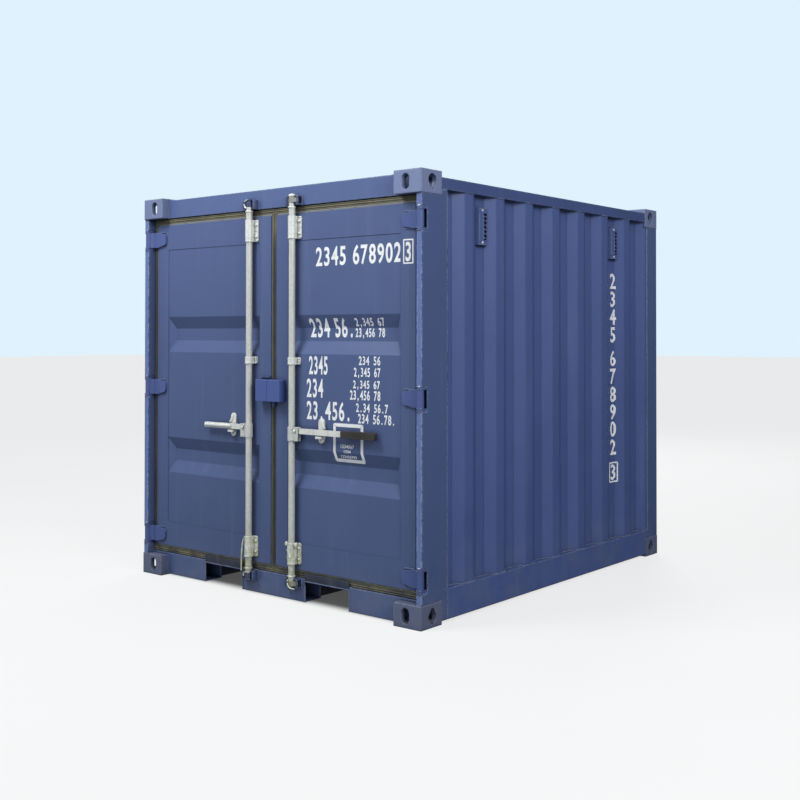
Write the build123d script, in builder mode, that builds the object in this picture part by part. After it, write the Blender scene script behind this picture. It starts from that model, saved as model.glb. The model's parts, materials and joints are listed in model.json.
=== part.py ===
"""Eight foot steel shipping container with two hinged doors and their locking gear.

The container stands on the ground plane with its doors facing -Y. Millimetres, +Z up, and the
origin is on the ground under the middle of the box. The two sides are mirror images in X = 0.
"""
import os
from build123d import *

# Overall box, over the corner castings
WIDTH = 2200.0
LENGTH = 2438.0
HEIGHT = 2260.0

# Corner castings: outer block, its walls and its three apertures
CASTING_X = 178.0
CASTING_Y = 162.0
CASTING_Z = 118.0
CASTING_WALL = 28.0
CASTING_BACK_WALL = 12.0
CASTING_EDGE = 7.0
TWIST_SLOT_LENGTH = 124.0
TWIST_SLOT_WIDTH = 63.5
SLOT_FROM_SIDE = 101.5
SLOT_FROM_END = 89.0
END_HOLE_HEIGHT = 79.5
END_HOLE_WIDTH = 51.0
SIDE_HOLE_WIDTH = 63.5
SIDE_HOLE_TIP_RADIUS = 13.0

# Corner posts at the door end, folded to a stepped hollow section
SIDE_INSET = 2.0
POST_FRONT_INSET = 8.0
POST_FLANGE = 34.0
POST_DEPTH = 202.0
POST_STEP = 52.0
POST_SLOPE = 30.0
POST_WALL = 6.0

# Corner posts at the closed end
REAR_INSET = 6.0
REAR_POST_WIDTH = 108.0
REAR_POST_DEPTH = 125.0

# Door leaves
DOOR_SET_BACK = 50.0
DOOR_THICKNESS = 50.0
DOOR_GAP = 44.0
DOOR_SIDE_GAP = 40.0
DOOR_SILL_GAP = 43.0
DOOR_HEADER_GAP = 42.0
OUTER_STILE = 99.0
INNER_STILE = 90.0
TOP_RAIL = 146.0
BOTTOM_RAIL = 144.0
DOOR_TUBE_WALL = 3.0
PANEL_SHEET = 2.5
PANEL_INSET = 2.0
LOWER_PRESSING_RISE = 403.0
UPPER_PRESSING_DROP = 511.0
PRESSING_SPAN = 210.0
PRESSING_FLAT = 70.0
PRESSING_END_SLOPE = 42.0
PRESSING_DEPTH = 30.0

# Door gasket
GASKET_FRONT = 8.0
GASKET_BACK_LIP = 2.0
GASKET_TOP_GAP = 7.0
GASKET_MEETING_GAP = 10.0
GASKET_LIP_BEVEL = 12.0
MOVING_GAP = 5.0

# Header and sill
HEADER_TOP_DROP = 10.0
HEADER_DEPTH = 100.0
HEADER_WALL = 4.0
HEADER_SLOPE = 58.0
HEADER_SLOPE_DROP = 2.0
SEAL_LIP = 54.0
END_PLATE_WALL = 5.0
SILL_CLEAR = 6.0
SILL_RISE = 14.0
SILL_DEPTH = 120.0
SILL_WALL = 6.0
FLOOR_RISE = 30.0

# Hinges
HINGE_INSET = 20.0
HINGE_RISE = 63.0
HINGE_DROP = 85.0
KNUCKLE_RADIUS = 17.0
KNUCKLE_HEIGHT = 90.0
PIN_RADIUS = 11.0
PIN_CLEARANCE = 0.1
LUG_HEIGHT = 14.0
LUG_CLEARANCE = 1.0
LUG_NOSE = 18.0
LUG_CORNER = 10.0
BLADE_REACH = 140.0
BLADE_THICKNESS = 11.0
BLADE_TIP_RADIUS = 20.0
BLADE_TIP_SPREAD = 26.0
BLADE_SHOULDER = 10.0
CRANK_KNEE = (5.0, 10.0)
CRANK_RUN = 13.0
CRANK_SEAT = 14.0
NOTCH_DEPTH = 50.0
NOTCH_RETURN = 59.0

# Locking bars
BAR_X = 172.0
BAR_STAND_OFF = 27.0
BAR_RADIUS = 17.5
BAR_WALL = 4.0
BAR_CLEARANCE = 0.3
CAM_BELOW_SILL = 28.0
CAM_ABOVE_DOOR = 27.0
CAM_RADIUS = 19.0
CAM_HEIGHT = 24.0
CAM_REACH = 46.0
CAM_TIP_RADIUS = 10.0
BAR_END = 18.0
KEEPER_HALF_WIDTH = 50.0
KEEPER_PLATE = 3.0
KEEPER_HALF_HEIGHT = 26.0
KEEPER_JAW = 9.0
KEEPER_DEPTH = 34.0
KEEPER_INNER = 25.0
KEEPER_CORNER = 8.0

# Bar brackets on the door frame and the guide on the panel
LOWER_BRACKET_RISE = 87.0
LOWER_BRACKET_HEIGHT = 115.0
UPPER_BRACKET_DROP = 77.0
UPPER_BRACKET_HEIGHT = 122.0
GUIDE_Z = 1300.0
GUIDE_HEIGHT = 40.0
BRACKET_HALF_WIDTH = 50.0
GUIDE_HALF_WIDTH = 42.0
BRACKET_CORNER = 6.0
BRACKET_PLATE = 6.0
STRAP_WALL = 4.7

# Handles
HANDLE_Z = 924.0
HANDLE_HEIGHT = 30.0
HANDLE_THICKNESS = 8.0
RIGHT_HANDLE_REACH = 605.0
LEFT_HANDLE_REACH = 380.0
GRIP_LENGTH = 237.0
GRIP_HEIGHT = 38.0
GRIP_THICKNESS = 22.0
GRIP_CORNER = 9.0
GRIP_END = 4.0
HUB_DROP = 54.0
HUB_RISE = 21.0
HUB_REACH = 56.0
PIVOT_REACH = 36.0
PIVOT_RADIUS = 6.0
CLEVIS_GAP = 1.0
CLEVIS_PLATE = 8.0
CATCH_X = {"right": 378.0, "left": 322.0}
CATCH_DROP = 58.0
CATCH_RISE = 73.0
CATCH_WIDTH = 40.0
CATCH_PLATE = 6.0
CATCH_LEDGE = 12.0
CATCH_LEDGE_GAP = 6.0

# Lock box over the meeting edges
LOCK_BOX_HALF_WIDTH = 96.0
LOCK_BOX_LOW = 1076.0
LOCK_BOX_HEIGHT = 119.0
LOCK_BOX_WALL = 5.0
LOCK_BOX_GAP = 6.0
LOCK_BOX_EDGE = 3.0

# Side rails
TOP_RAIL_DROP = 29.0
TOP_RAIL_HEIGHT = 59.0
TOP_RAIL_WIDTH = 60.0
TOP_RAIL_WALL = 4.0
BOTTOM_RAIL_LOW = 17.0
BOTTOM_RAIL_RISE = 8.0
BOTTOM_RAIL_WIDTH = 50.0
BOTTOM_RAIL_WALL = 5.0
BOTTOM_RAIL_INSET = 1.0

# Corrugated walls and roof
WALL_SHEET = 2.0
WALL_INSET = 6.0
WALL_PITCH = 275.0
WALL_INNER_FLAT = 70.0
WALL_SLOPE = 68.0
WALL_DEPTH = 36.0
SIDE_RECESSES = 8
REAR_RECESSES = 7
ROOF_SHEET = 2.0
ROOF_DEPTH = 20.0
ROOF_DROP = 1.0
ROOF_TROUGHS = 10
ROOF_PITCH = 209.0
ROOF_INNER_FLAT = 65.0
ROOF_SLOPE = 22.0

# Side vents, each in a recess of a side wall
VENT_RECESSES = (-2.5 * WALL_PITCH, 2.5 * WALL_PITCH)
VENT_DROP = 62.0
VENT_HEIGHT = 197.0
VENT_HALF_WIDTH = 45.0
VENT_FRONT_HALF_WIDTH = 38.0
VENT_DEPTH = 26.0
VENT_WALL = 3.0
VENT_SLOT = (4.0, 30.0)
VENT_SLOT_END = 28.0

# Floor and underframe
FLOOR_THICKNESS = 27.0
CROSS_MEMBER_HEIGHT = 90.0
CROSS_MEMBER_WIDTH = 45.0
CROSS_MEMBER_WALL = 4.0
CROSS_MEMBER_PITCH = 320.0
CROSS_MEMBER_COUNT = 6
POCKET_INNER = 248.0
POCKET_OUTER = 575.0
POCKET_TOP = 118.0
TUNNEL_WALL = 4.0

# Planes and faces that more than one piece shares
HALF_W = WIDTH / 2
HALF_L = LENGTH / 2
SIDE_FACE = HALF_W - SIDE_INSET
CASTING_INNER_X = HALF_W - CASTING_X
CASTING_INNER_Y = HALF_L - CASTING_Y
UPPER_CASTING = HEIGHT - CASTING_Z
DOOR_FACE = -HALF_L + DOOR_SET_BACK
DOOR_BACK = DOOR_FACE + DOOR_THICKNESS
PANEL_FACE = DOOR_FACE + PANEL_INSET
POST_FRONT = -HALF_L + POST_FRONT_INSET
POST_BACK = POST_FRONT + POST_DEPTH
POST_INNER = SIDE_FACE - POST_FLANGE
SILL_TOP = CASTING_Z + SILL_RISE
FLOOR_TOP = SILL_TOP + FLOOR_RISE
DOOR_INNER = DOOR_GAP / 2
DOOR_OUTER = POST_INNER - DOOR_SIDE_GAP
DOOR_LOW = SILL_TOP + DOOR_SILL_GAP
DOOR_HIGH = UPPER_CASTING - DOOR_HEADER_GAP
PANEL_X = (DOOR_INNER + INNER_STILE, DOOR_OUTER - OUTER_STILE)
PANEL_Z = (DOOR_LOW + BOTTOM_RAIL, DOOR_HIGH - TOP_RAIL)
SEAL_X = POST_INNER - POST_STEP
SEAL_FACE = DOOR_BACK + GASKET_BACK_LIP + MOVING_GAP
HEADER_BACK = DOOR_FACE + HEADER_DEPTH
SILL_BACK = DOOR_FACE + SILL_DEPTH
REAR_FACE = HALF_L - REAR_INSET
REAR_POST_FRONT = REAR_FACE - REAR_POST_DEPTH
REAR_POST_INNER = SIDE_FACE - REAR_POST_WIDTH
HINGE_X = HALF_W - HINGE_INSET
HINGE_Y = -HALF_L + HINGE_INSET
HINGE_ENDS = (DOOR_LOW + HINGE_RISE, DOOR_HIGH - HINGE_DROP)
HINGE_HEIGHTS = (HINGE_ENDS[0], sum(HINGE_ENDS) / 2, HINGE_ENDS[1])
BAR_Y = DOOR_FACE - BAR_STAND_OFF
CAM_HEIGHTS = (SILL_TOP - CAM_BELOW_SILL, UPPER_CASTING + CAM_ABOVE_DOOR)
HUB_LOW = HANDLE_Z - HUB_DROP
HUB_HIGH = HANDLE_Z + HUB_RISE
TOP_RAIL_HIGH = HEIGHT - TOP_RAIL_DROP
TOP_RAIL_LOW = TOP_RAIL_HIGH - TOP_RAIL_HEIGHT
BOTTOM_RAIL_HIGH = FLOOR_TOP + BOTTOM_RAIL_RISE
WALL_FACE = HALF_W - WALL_INSET
FLOOR_LOW = FLOOR_TOP - FLOOR_THICKNESS


def block(x_range, y_range, z_range, mode=Mode.ADD):
    """Add or cut a block between three pairs of limits in the part being built."""
    ranges = (x_range, y_range, z_range)
    with Locations(tuple((low + high) / 2 for low, high in ranges)):
        Box(*(high - low for low, high in ranges), mode=mode)


def hollow_section(plane, points, wall):
    """Closed folded section with an even wall, on a plane."""
    with BuildSketch(plane) as section:
        with BuildLine():
            Polyline(*points, close=True)
        make_face()
        offset(amount=-wall, kind=Kind.INTERSECTION, mode=Mode.SUBTRACT)
    return section.sketch


def end_box(x_range, y_range, z_range, open_end):
    """Add a short welded box whose top or bottom plate is left out."""
    block(x_range, y_range, z_range)
    inner = [[low + END_PLATE_WALL, high - END_PLATE_WALL] for low, high in (x_range, y_range, z_range)]
    if open_end == "top":
        inner[2][1] = z_range[1]
    else:
        inner[2][0] = z_range[0]
    block(*inner, mode=Mode.SUBTRACT)


def mirrored(original, plane):
    """Make the mirror image of a finished part."""
    with BuildPart() as image:
        mirror(original.part, about=plane)
    return image


def save(builder, name):
    """Label a finished part and write its STEP file."""
    builder.part.label = name
    export_step(builder.part, f"parts/{name}.step")


def save_pair(right, name):
    """Write a right-hand part and its left-hand mirror image."""
    save(right, f"{name}_right")
    save(mirrored(right, Plane.YZ), f"{name}_left")


# Corner castings

def upper_door_castings():
    """Pair of cast corners at the door end and top, each with its three apertures."""
    slot_x = HALF_W - SLOT_FROM_SIDE
    slot_y = -HALF_L + SLOT_FROM_END
    middle_z = HEIGHT - CASTING_Z / 2
    with BuildPart() as casting:
        block((CASTING_INNER_X, HALF_W), (-HALF_L, -CASTING_INNER_Y), (UPPER_CASTING, HEIGHT))
        outer = casting.edges().filter_by(Axis.Z).sort_by_distance((HALF_W, -HALF_L, middle_z))[0]
        fillet(outer, radius=CASTING_EDGE)
        block(
            (CASTING_INNER_X + CASTING_BACK_WALL, HALF_W - CASTING_WALL),
            (-HALF_L + CASTING_WALL, -CASTING_INNER_Y - CASTING_BACK_WALL),
            (UPPER_CASTING + CASTING_BACK_WALL, HEIGHT - CASTING_WALL),
            mode=Mode.SUBTRACT,
        )
        with BuildSketch(Plane.XY.offset(HEIGHT)):
            with Locations((slot_x, slot_y)):
                SlotOverall(TWIST_SLOT_LENGTH, TWIST_SLOT_WIDTH)
        extrude(amount=-CASTING_WALL, mode=Mode.SUBTRACT)
        with BuildSketch(Plane.XZ.offset(HALF_L)):
            with Locations((slot_x, middle_z)):
                SlotOverall(END_HOLE_HEIGHT, END_HOLE_WIDTH, rotation=90)
        extrude(amount=-CASTING_WALL, mode=Mode.SUBTRACT)
        with BuildSketch(Plane.YZ.offset(HALF_W)):
            upper_radius = SIDE_HOLE_WIDTH / 2
            hole_top = middle_z + END_HOLE_HEIGHT / 2
            tip_z = middle_z - END_HOLE_HEIGHT / 2 + SIDE_HOLE_TIP_RADIUS
            with Locations((slot_y, hole_top - upper_radius)):
                Circle(upper_radius)
            with Locations((slot_y, tip_z)):
                Circle(SIDE_HOLE_TIP_RADIUS)
            make_hull()
        extrude(amount=-CASTING_WALL, mode=Mode.SUBTRACT)
        mirror(about=Plane.YZ)
    return casting


def build_castings():
    """Write the eight corner castings, four pairs that are mirror images of one."""
    mid_height = Plane.XY.offset(HEIGHT / 2)
    top_door = upper_door_castings()
    top_rear = mirrored(top_door, Plane.XZ)
    save(top_door, "castings_door_top")
    save(mirrored(top_door, mid_height), "castings_door_bottom")
    save(top_rear, "castings_rear_top")
    save(mirrored(top_rear, mid_height), "castings_rear_bottom")


# Frame

def build_door_posts():
    """Stepped hollow posts beside the doors, notched for the hinges."""
    outline = (
        (SIDE_FACE, POST_FRONT),
        (POST_INNER, POST_FRONT),
        (POST_INNER, SEAL_FACE),
        (SEAL_X, SEAL_FACE),
        (SEAL_X, POST_BACK - POST_SLOPE),
        (SEAL_X + POST_SLOPE, POST_BACK),
        (SIDE_FACE, POST_BACK),
    )
    notch_half = KNUCKLE_HEIGHT / 2 + LUG_CLEARANCE + LUG_HEIGHT
    with BuildPart() as post:
        section = hollow_section(Plane.XY.offset(CASTING_Z), outline, POST_WALL)
        extrude(section, amount=UPPER_CASTING - CASTING_Z)
        for height in HINGE_HEIGHTS:
            notch_z = (height - notch_half, height + notch_half)
            block(
                (POST_INNER - POST_WALL, HALF_W),
                (-HALF_L, -HALF_L + NOTCH_DEPTH),
                notch_z,
                mode=Mode.SUBTRACT,
            )
            block(
                (POST_INNER - POST_WALL, POST_INNER + POST_WALL),
                (-HALF_L, -HALF_L + NOTCH_RETURN),
                notch_z,
                mode=Mode.SUBTRACT,
            )
        side_plate = (SIDE_FACE - POST_WALL, SIDE_FACE)
        behind_casting = (-CASTING_INNER_Y, POST_BACK)
        block(side_plate, behind_casting, (UPPER_CASTING, TOP_RAIL_LOW))
        block(side_plate, behind_casting, (BOTTOM_RAIL_LOW, CASTING_Z))
        mirror(about=Plane.YZ)
    save(post, "door_posts")


def build_rear_posts():
    """Plain hollow posts at the closed end."""
    outline = (
        (REAR_POST_INNER, REAR_POST_FRONT),
        (SIDE_FACE, REAR_POST_FRONT),
        (SIDE_FACE, REAR_FACE),
        (REAR_POST_INNER, REAR_FACE),
    )
    with BuildPart() as post:
        section = hollow_section(Plane.XY.offset(CASTING_Z), outline, POST_WALL)
        extrude(section, amount=UPPER_CASTING - CASTING_Z)
        mirror(about=Plane.YZ)
    save(post, "rear_posts")


def build_door_header():
    """Hollow header over the doors, with a lip behind the gasket."""
    top = HEIGHT - HEADER_TOP_DROP
    lip_low = UPPER_CASTING - SEAL_LIP
    outline = (
        (DOOR_FACE, UPPER_CASTING),
        (DOOR_FACE, top),
        (HEADER_BACK, top),
        (HEADER_BACK, lip_low),
        (SEAL_FACE, lip_low),
        (SEAL_FACE, UPPER_CASTING),
    )
    with BuildPart() as header:
        section = hollow_section(Plane.YZ.offset(-CASTING_INNER_X), outline, HEADER_WALL)
        extrude(section, amount=2 * CASTING_INNER_X)
        with BuildSketch(Plane.XZ.offset(-HEADER_BACK)):
            with BuildLine():
                Polyline(
                    (CASTING_INNER_X, top - HEADER_WALL),
                    (CASTING_INNER_X, HEIGHT - HEADER_SLOPE_DROP),
                    (CASTING_INNER_X - HEADER_SLOPE, top),
                    (CASTING_INNER_X - HEADER_SLOPE, top - HEADER_WALL),
                    close=True,
                )
            make_face()
            mirror(about=Plane.YZ)
        extrude(amount=HEADER_DEPTH)
        for side in (-1, 1):
            ends = sorted((side * CASTING_INNER_X, side * SEAL_X))
            end_box(ends, (SEAL_FACE, HEADER_BACK), (lip_low, UPPER_CASTING), "top")
    save(header, "door_header")


def cut_fork_pockets(y_range):
    """Cut both fork pockets out of a sill, open at the bottom."""
    for side in (-1, 1):
        pocket_x = sorted((side * POCKET_INNER, side * POCKET_OUTER))
        block(pocket_x, y_range, (0, POCKET_TOP), mode=Mode.SUBTRACT)


def build_door_sill():
    """Hollow sill under the doors, stepped up to the floor behind the gasket."""
    outline = (
        (DOOR_FACE, SILL_CLEAR),
        (DOOR_FACE, SILL_TOP),
        (SEAL_FACE, SILL_TOP),
        (SEAL_FACE, FLOOR_TOP),
        (SILL_BACK, FLOOR_TOP),
        (SILL_BACK, SILL_CLEAR),
    )
    with BuildPart() as sill:
        section = hollow_section(Plane.YZ.offset(-CASTING_INNER_X), outline, SILL_WALL)
        extrude(section, amount=2 * CASTING_INNER_X)
        for side in (-1, 1):
            front_ends = sorted((side * CASTING_INNER_X, side * POST_INNER))
            back_ends = sorted((side * CASTING_INNER_X, side * SEAL_X))
            block(front_ends, (DOOR_FACE, SEAL_FACE), (CASTING_Z, SILL_TOP))
            end_box(back_ends, (SEAL_FACE, SILL_BACK), (CASTING_Z, FLOOR_TOP), "bottom")
        cut_fork_pockets((DOOR_FACE, SILL_BACK))
    save(sill, "door_sill")


def build_rear_header():
    """Hollow header over the closed end."""
    top = HEIGHT - HEADER_TOP_DROP
    front = REAR_FACE - HEADER_DEPTH
    outline = (
        (front, UPPER_CASTING),
        (REAR_FACE, UPPER_CASTING),
        (REAR_FACE, top),
        (front, top),
    )
    with BuildPart() as header:
        section = hollow_section(Plane.YZ.offset(-CASTING_INNER_X), outline, HEADER_WALL)
        extrude(section, amount=2 * CASTING_INNER_X)
    save(header, "rear_header")


def build_rear_sill():
    """Hollow sill under the closed end, with the same fork pockets as the door sill."""
    front = REAR_FACE - HEADER_DEPTH
    outline = (
        (front, SILL_CLEAR),
        (REAR_FACE, SILL_CLEAR),
        (REAR_FACE, FLOOR_TOP),
        (front, FLOOR_TOP),
    )
    with BuildPart() as sill:
        section = hollow_section(Plane.YZ.offset(-CASTING_INNER_X), outline, SILL_WALL)
        extrude(section, amount=2 * CASTING_INNER_X)
        for side in (-1, 1):
            ends = sorted((side * CASTING_INNER_X, side * REAR_POST_INNER))
            block(ends, (front, REAR_FACE), (CASTING_Z, FLOOR_TOP))
        cut_fork_pockets((front, REAR_FACE))
    save(sill, "rear_sill")


def build_side_rails():
    """Box-section top rails and channel-section bottom rails, one pair of each."""
    top_outline = (
        (SIDE_FACE - TOP_RAIL_WIDTH, TOP_RAIL_LOW),
        (SIDE_FACE, TOP_RAIL_LOW),
        (SIDE_FACE, TOP_RAIL_HIGH),
        (SIDE_FACE - TOP_RAIL_WIDTH, TOP_RAIL_HIGH),
    )
    with BuildPart() as top_rails:
        section = hollow_section(Plane.XZ.offset(-CASTING_INNER_Y), top_outline, TOP_RAIL_WALL)
        extrude(section, amount=2 * CASTING_INNER_Y)
        mirror(about=Plane.YZ)
    save(top_rails, "top_side_rails")

    web_face = HALF_W - BOTTOM_RAIL_INSET
    flange_edge = web_face - BOTTOM_RAIL_WIDTH
    along = (POST_BACK, REAR_POST_FRONT)
    with BuildPart() as bottom_rails:
        block((flange_edge, web_face), along, (BOTTOM_RAIL_LOW, BOTTOM_RAIL_HIGH))
        block(
            (flange_edge, web_face - BOTTOM_RAIL_WALL),
            along,
            (BOTTOM_RAIL_LOW + BOTTOM_RAIL_WALL, BOTTOM_RAIL_HIGH - BOTTOM_RAIL_WALL),
            mode=Mode.SUBTRACT,
        )
        block(
            (flange_edge, HALF_W),
            (CASTING_INNER_Y, REAR_POST_FRONT),
            (0, CASTING_Z),
            mode=Mode.SUBTRACT,
        )
        mirror(about=Plane.YZ)
    save(bottom_rails, "bottom_side_rails")


# Sheeting

def recess_depth(position, centres, flat, slope, depth):
    """Depth of a corrugation at one place along the sheet."""
    distance = min(abs(position - centre) for centre in centres)
    return depth * min(max((flat / 2 + slope - distance) / slope, 0), 1)


def corrugated_outline(start, end, centres, flat, slope, depth, face, sheet):
    """Points round a folded sheet whose recesses go down from its face."""
    corners = {start, end}
    for centre in centres:
        for reach in (flat / 2, flat / 2 + slope):
            corners |= {centre - reach, centre + reach}
    along = sorted(place for place in corners if start <= place <= end)
    outer = [(place, face - recess_depth(place, centres, flat, slope, depth)) for place in along]
    inner = [(place, level - sheet) for place, level in reversed(outer)]
    return outer + inner


def evenly_spaced(count, pitch):
    """Places at an even pitch about zero."""
    return [(index - (count - 1) / 2) * pitch for index in range(count)]


def build_side_walls():
    """Side walls with upright recesses between the rails."""
    centres = evenly_spaced(SIDE_RECESSES, WALL_PITCH)
    points = corrugated_outline(
        POST_BACK, REAR_POST_FRONT, centres,
        WALL_INNER_FLAT, WALL_SLOPE, WALL_DEPTH, WALL_FACE, WALL_SHEET,
    )
    with BuildPart() as wall:
        with BuildSketch(Plane.XY.offset(BOTTOM_RAIL_HIGH)):
            with BuildLine():
                Polyline(*((level, place) for place, level in points), close=True)
            make_face()
        extrude(amount=TOP_RAIL_LOW - BOTTOM_RAIL_HIGH)
        block(
            (WALL_FACE - WALL_DEPTH - WALL_SHEET, HALF_W),
            (CASTING_INNER_Y, REAR_POST_FRONT),
            (UPPER_CASTING, TOP_RAIL_LOW),
            mode=Mode.SUBTRACT,
        )
    save_pair(wall, "side_wall")


def build_rear_wall():
    """Closed end wall with upright recesses."""
    centres = evenly_spaced(REAR_RECESSES, WALL_PITCH)
    points = corrugated_outline(
        -REAR_POST_INNER, REAR_POST_INNER, centres,
        WALL_INNER_FLAT, WALL_SLOPE, WALL_DEPTH, REAR_FACE - WALL_INSET, WALL_SHEET,
    )
    with BuildPart() as wall:
        with BuildSketch(Plane.XY.offset(FLOOR_TOP)):
            with BuildLine():
                Polyline(*points, close=True)
            make_face()
        extrude(amount=UPPER_CASTING - FLOOR_TOP)
    save(wall, "rear_wall")


def build_roof():
    """Roof sheet with shallow troughs across the container, between the top rails."""
    rail_inner = SIDE_FACE - TOP_RAIL_WIDTH
    rear_header_front = REAR_FACE - HEADER_DEPTH
    middle = (HEADER_BACK + rear_header_front) / 2
    centres = [place + middle for place in evenly_spaced(ROOF_TROUGHS, ROOF_PITCH)]
    points = corrugated_outline(
        HEADER_BACK, rear_header_front, centres,
        ROOF_INNER_FLAT, ROOF_SLOPE, ROOF_DEPTH, TOP_RAIL_HIGH - ROOF_DROP, ROOF_SHEET,
    )
    with BuildPart() as roof:
        with BuildSketch(Plane.YZ.offset(-rail_inner)):
            with BuildLine():
                Polyline(*points, close=True)
            make_face()
        extrude(amount=2 * rail_inner)
        for side in (-1, 1):
            corner_x = sorted((side * CASTING_INNER_X, side * HALF_W))
            for end in (-1, 1):
                corner_y = sorted((end * CASTING_INNER_Y, end * HALF_L))
                block(corner_x, corner_y, (UPPER_CASTING, HEIGHT), mode=Mode.SUBTRACT)
    save(roof, "roof")


def build_vents():
    """Four hooded vents with a slot in front, each seated in a recess of a side wall."""
    recess_face = WALL_FACE - WALL_DEPTH
    front = recess_face + VENT_DEPTH
    vent_high = TOP_RAIL_LOW - VENT_DROP
    vent_low = vent_high - VENT_HEIGHT
    edge_rise = (VENT_HALF_WIDTH - WALL_INNER_FLAT / 2) * WALL_DEPTH / WALL_SLOPE
    with BuildPart() as vents:
        for centre in VENT_RECESSES:
            outline = (
                (recess_face, centre - WALL_INNER_FLAT / 2),
                (recess_face + edge_rise, centre - VENT_HALF_WIDTH),
                (front, centre - VENT_FRONT_HALF_WIDTH),
                (front, centre + VENT_FRONT_HALF_WIDTH),
                (recess_face + edge_rise, centre + VENT_HALF_WIDTH),
                (recess_face, centre + WALL_INNER_FLAT / 2),
            )
            section = hollow_section(Plane.XY.offset(vent_low), outline, VENT_WALL)
            extrude(section, amount=VENT_HEIGHT)
            with BuildSketch(Plane.XY.offset(vent_high - VENT_WALL)):
                with BuildLine():
                    Polyline(*outline, close=True)
                make_face()
            extrude(amount=VENT_WALL)
            block(
                (front - VENT_WALL, front),
                [centre + reach for reach in VENT_SLOT],
                (vent_low + VENT_SLOT_END, vent_high - VENT_SLOT_END),
                mode=Mode.SUBTRACT,
            )
        mirror(about=Plane.YZ)
    save(vents, "side_vents")


# Floor and underframe

def build_floor():
    """Plywood floor between the sills and the bottom rails."""
    edge = HALF_W - BOTTOM_RAIL_INSET - BOTTOM_RAIL_WIDTH
    rear_sill_front = REAR_FACE - HEADER_DEPTH
    floor_z = (FLOOR_LOW, FLOOR_TOP)
    with BuildPart() as floor:
        block((-edge, edge), (SILL_BACK, rear_sill_front), floor_z)
        for side in (-1, 1):
            door_corner = sorted((side * SEAL_X, side * edge))
            rear_corner = sorted((side * REAR_POST_INNER, side * edge))
            block(door_corner, (SILL_BACK, POST_BACK), floor_z, mode=Mode.SUBTRACT)
            block(rear_corner, (REAR_POST_FRONT, rear_sill_front), floor_z, mode=Mode.SUBTRACT)
    save(floor, "floor")


def build_underframe():
    """Cross members under the floor, and the two fork tunnels that they meet."""
    web_inner = HALF_W - BOTTOM_RAIL_INSET - BOTTOM_RAIL_WALL
    tunnel_outer = POCKET_OUTER + TUNNEL_WALL
    tunnel_inner = POCKET_INNER - TUNNEL_WALL
    spans = (
        (-web_inner, -tunnel_outer),
        (-tunnel_inner, tunnel_inner),
        (tunnel_outer, web_inner),
    )
    with BuildPart() as members:
        for place in evenly_spaced(CROSS_MEMBER_COUNT, CROSS_MEMBER_PITCH):
            across = (place - CROSS_MEMBER_WIDTH / 2, place + CROSS_MEMBER_WIDTH / 2)
            for span in spans:
                block(span, across, (FLOOR_LOW - CROSS_MEMBER_HEIGHT, FLOOR_LOW))
                block(
                    span,
                    (across[0] + CROSS_MEMBER_WALL, across[1]),
                    (
                        FLOOR_LOW - CROSS_MEMBER_HEIGHT + CROSS_MEMBER_WALL,
                        FLOOR_LOW - CROSS_MEMBER_WALL,
                    ),
                    mode=Mode.SUBTRACT,
                )
    save(members, "cross_members")

    run = (SILL_BACK, REAR_FACE - HEADER_DEPTH)
    with BuildPart() as tunnels:
        block((tunnel_inner, tunnel_outer), run, (BOTTOM_RAIL_LOW, FLOOR_LOW))
        block((POCKET_INNER, POCKET_OUTER), run, (BOTTOM_RAIL_LOW, POCKET_TOP), mode=Mode.SUBTRACT)
        block(
            (POCKET_INNER, POCKET_OUTER),
            run,
            (POCKET_TOP + TUNNEL_WALL, FLOOR_LOW),
            mode=Mode.SUBTRACT,
        )
        mirror(about=Plane.YZ)
    save(tunnels, "fork_tunnels")


# Doors

def build_door_frames():
    """Welded tube frames round the door panels."""
    wall = DOOR_TUBE_WALL
    with BuildPart() as bore:
        block(
            (DOOR_INNER + wall, DOOR_OUTER - wall),
            (DOOR_FACE + wall, DOOR_BACK - wall),
            (DOOR_LOW + wall, DOOR_HIGH - wall),
        )
        block(
            (PANEL_X[0] - wall, PANEL_X[1] + wall),
            (DOOR_FACE, DOOR_BACK),
            (PANEL_Z[0] - wall, PANEL_Z[1] + wall),
            mode=Mode.SUBTRACT,
        )
    with BuildPart() as frame:
        block((DOOR_INNER, DOOR_OUTER), (DOOR_FACE, DOOR_BACK), (DOOR_LOW, DOOR_HIGH))
        block(PANEL_X, (DOOR_FACE, DOOR_BACK), PANEL_Z, mode=Mode.SUBTRACT)
        add(bore.part, mode=Mode.SUBTRACT)
    save_pair(frame, "door_frame")


def pressing(front, centre_x, centre_z, width, mode):
    """Add or cut one tapered recess that goes in from a plane of the door panel."""
    slope = (PRESSING_SPAN - PRESSING_FLAT) / 2
    with Locations((centre_x, front, centre_z)):
        Wedge(
            width, PRESSING_DEPTH, PRESSING_SPAN,
            PRESSING_END_SLOPE, slope, width - PRESSING_END_SLOPE, PRESSING_SPAN - slope,
            align=(Align.CENTER, Align.MIN, Align.CENTER),
            mode=mode,
        )


def build_door_panels():
    """Door panels with two long pressed recesses each."""
    centre_x = sum(PANEL_X) / 2
    width = PANEL_X[1] - PANEL_X[0]
    with BuildPart() as panel:
        block(PANEL_X, (PANEL_FACE, PANEL_FACE + PANEL_SHEET), PANEL_Z)
        for height in (PANEL_Z[0] + LOWER_PRESSING_RISE, PANEL_Z[1] - UPPER_PRESSING_DROP):
            pressing(PANEL_FACE + PANEL_SHEET, centre_x, height, width, Mode.ADD)
            pressing(PANEL_FACE, centre_x, height, width, Mode.SUBTRACT)
    save_pair(panel, "door_panel")


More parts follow.
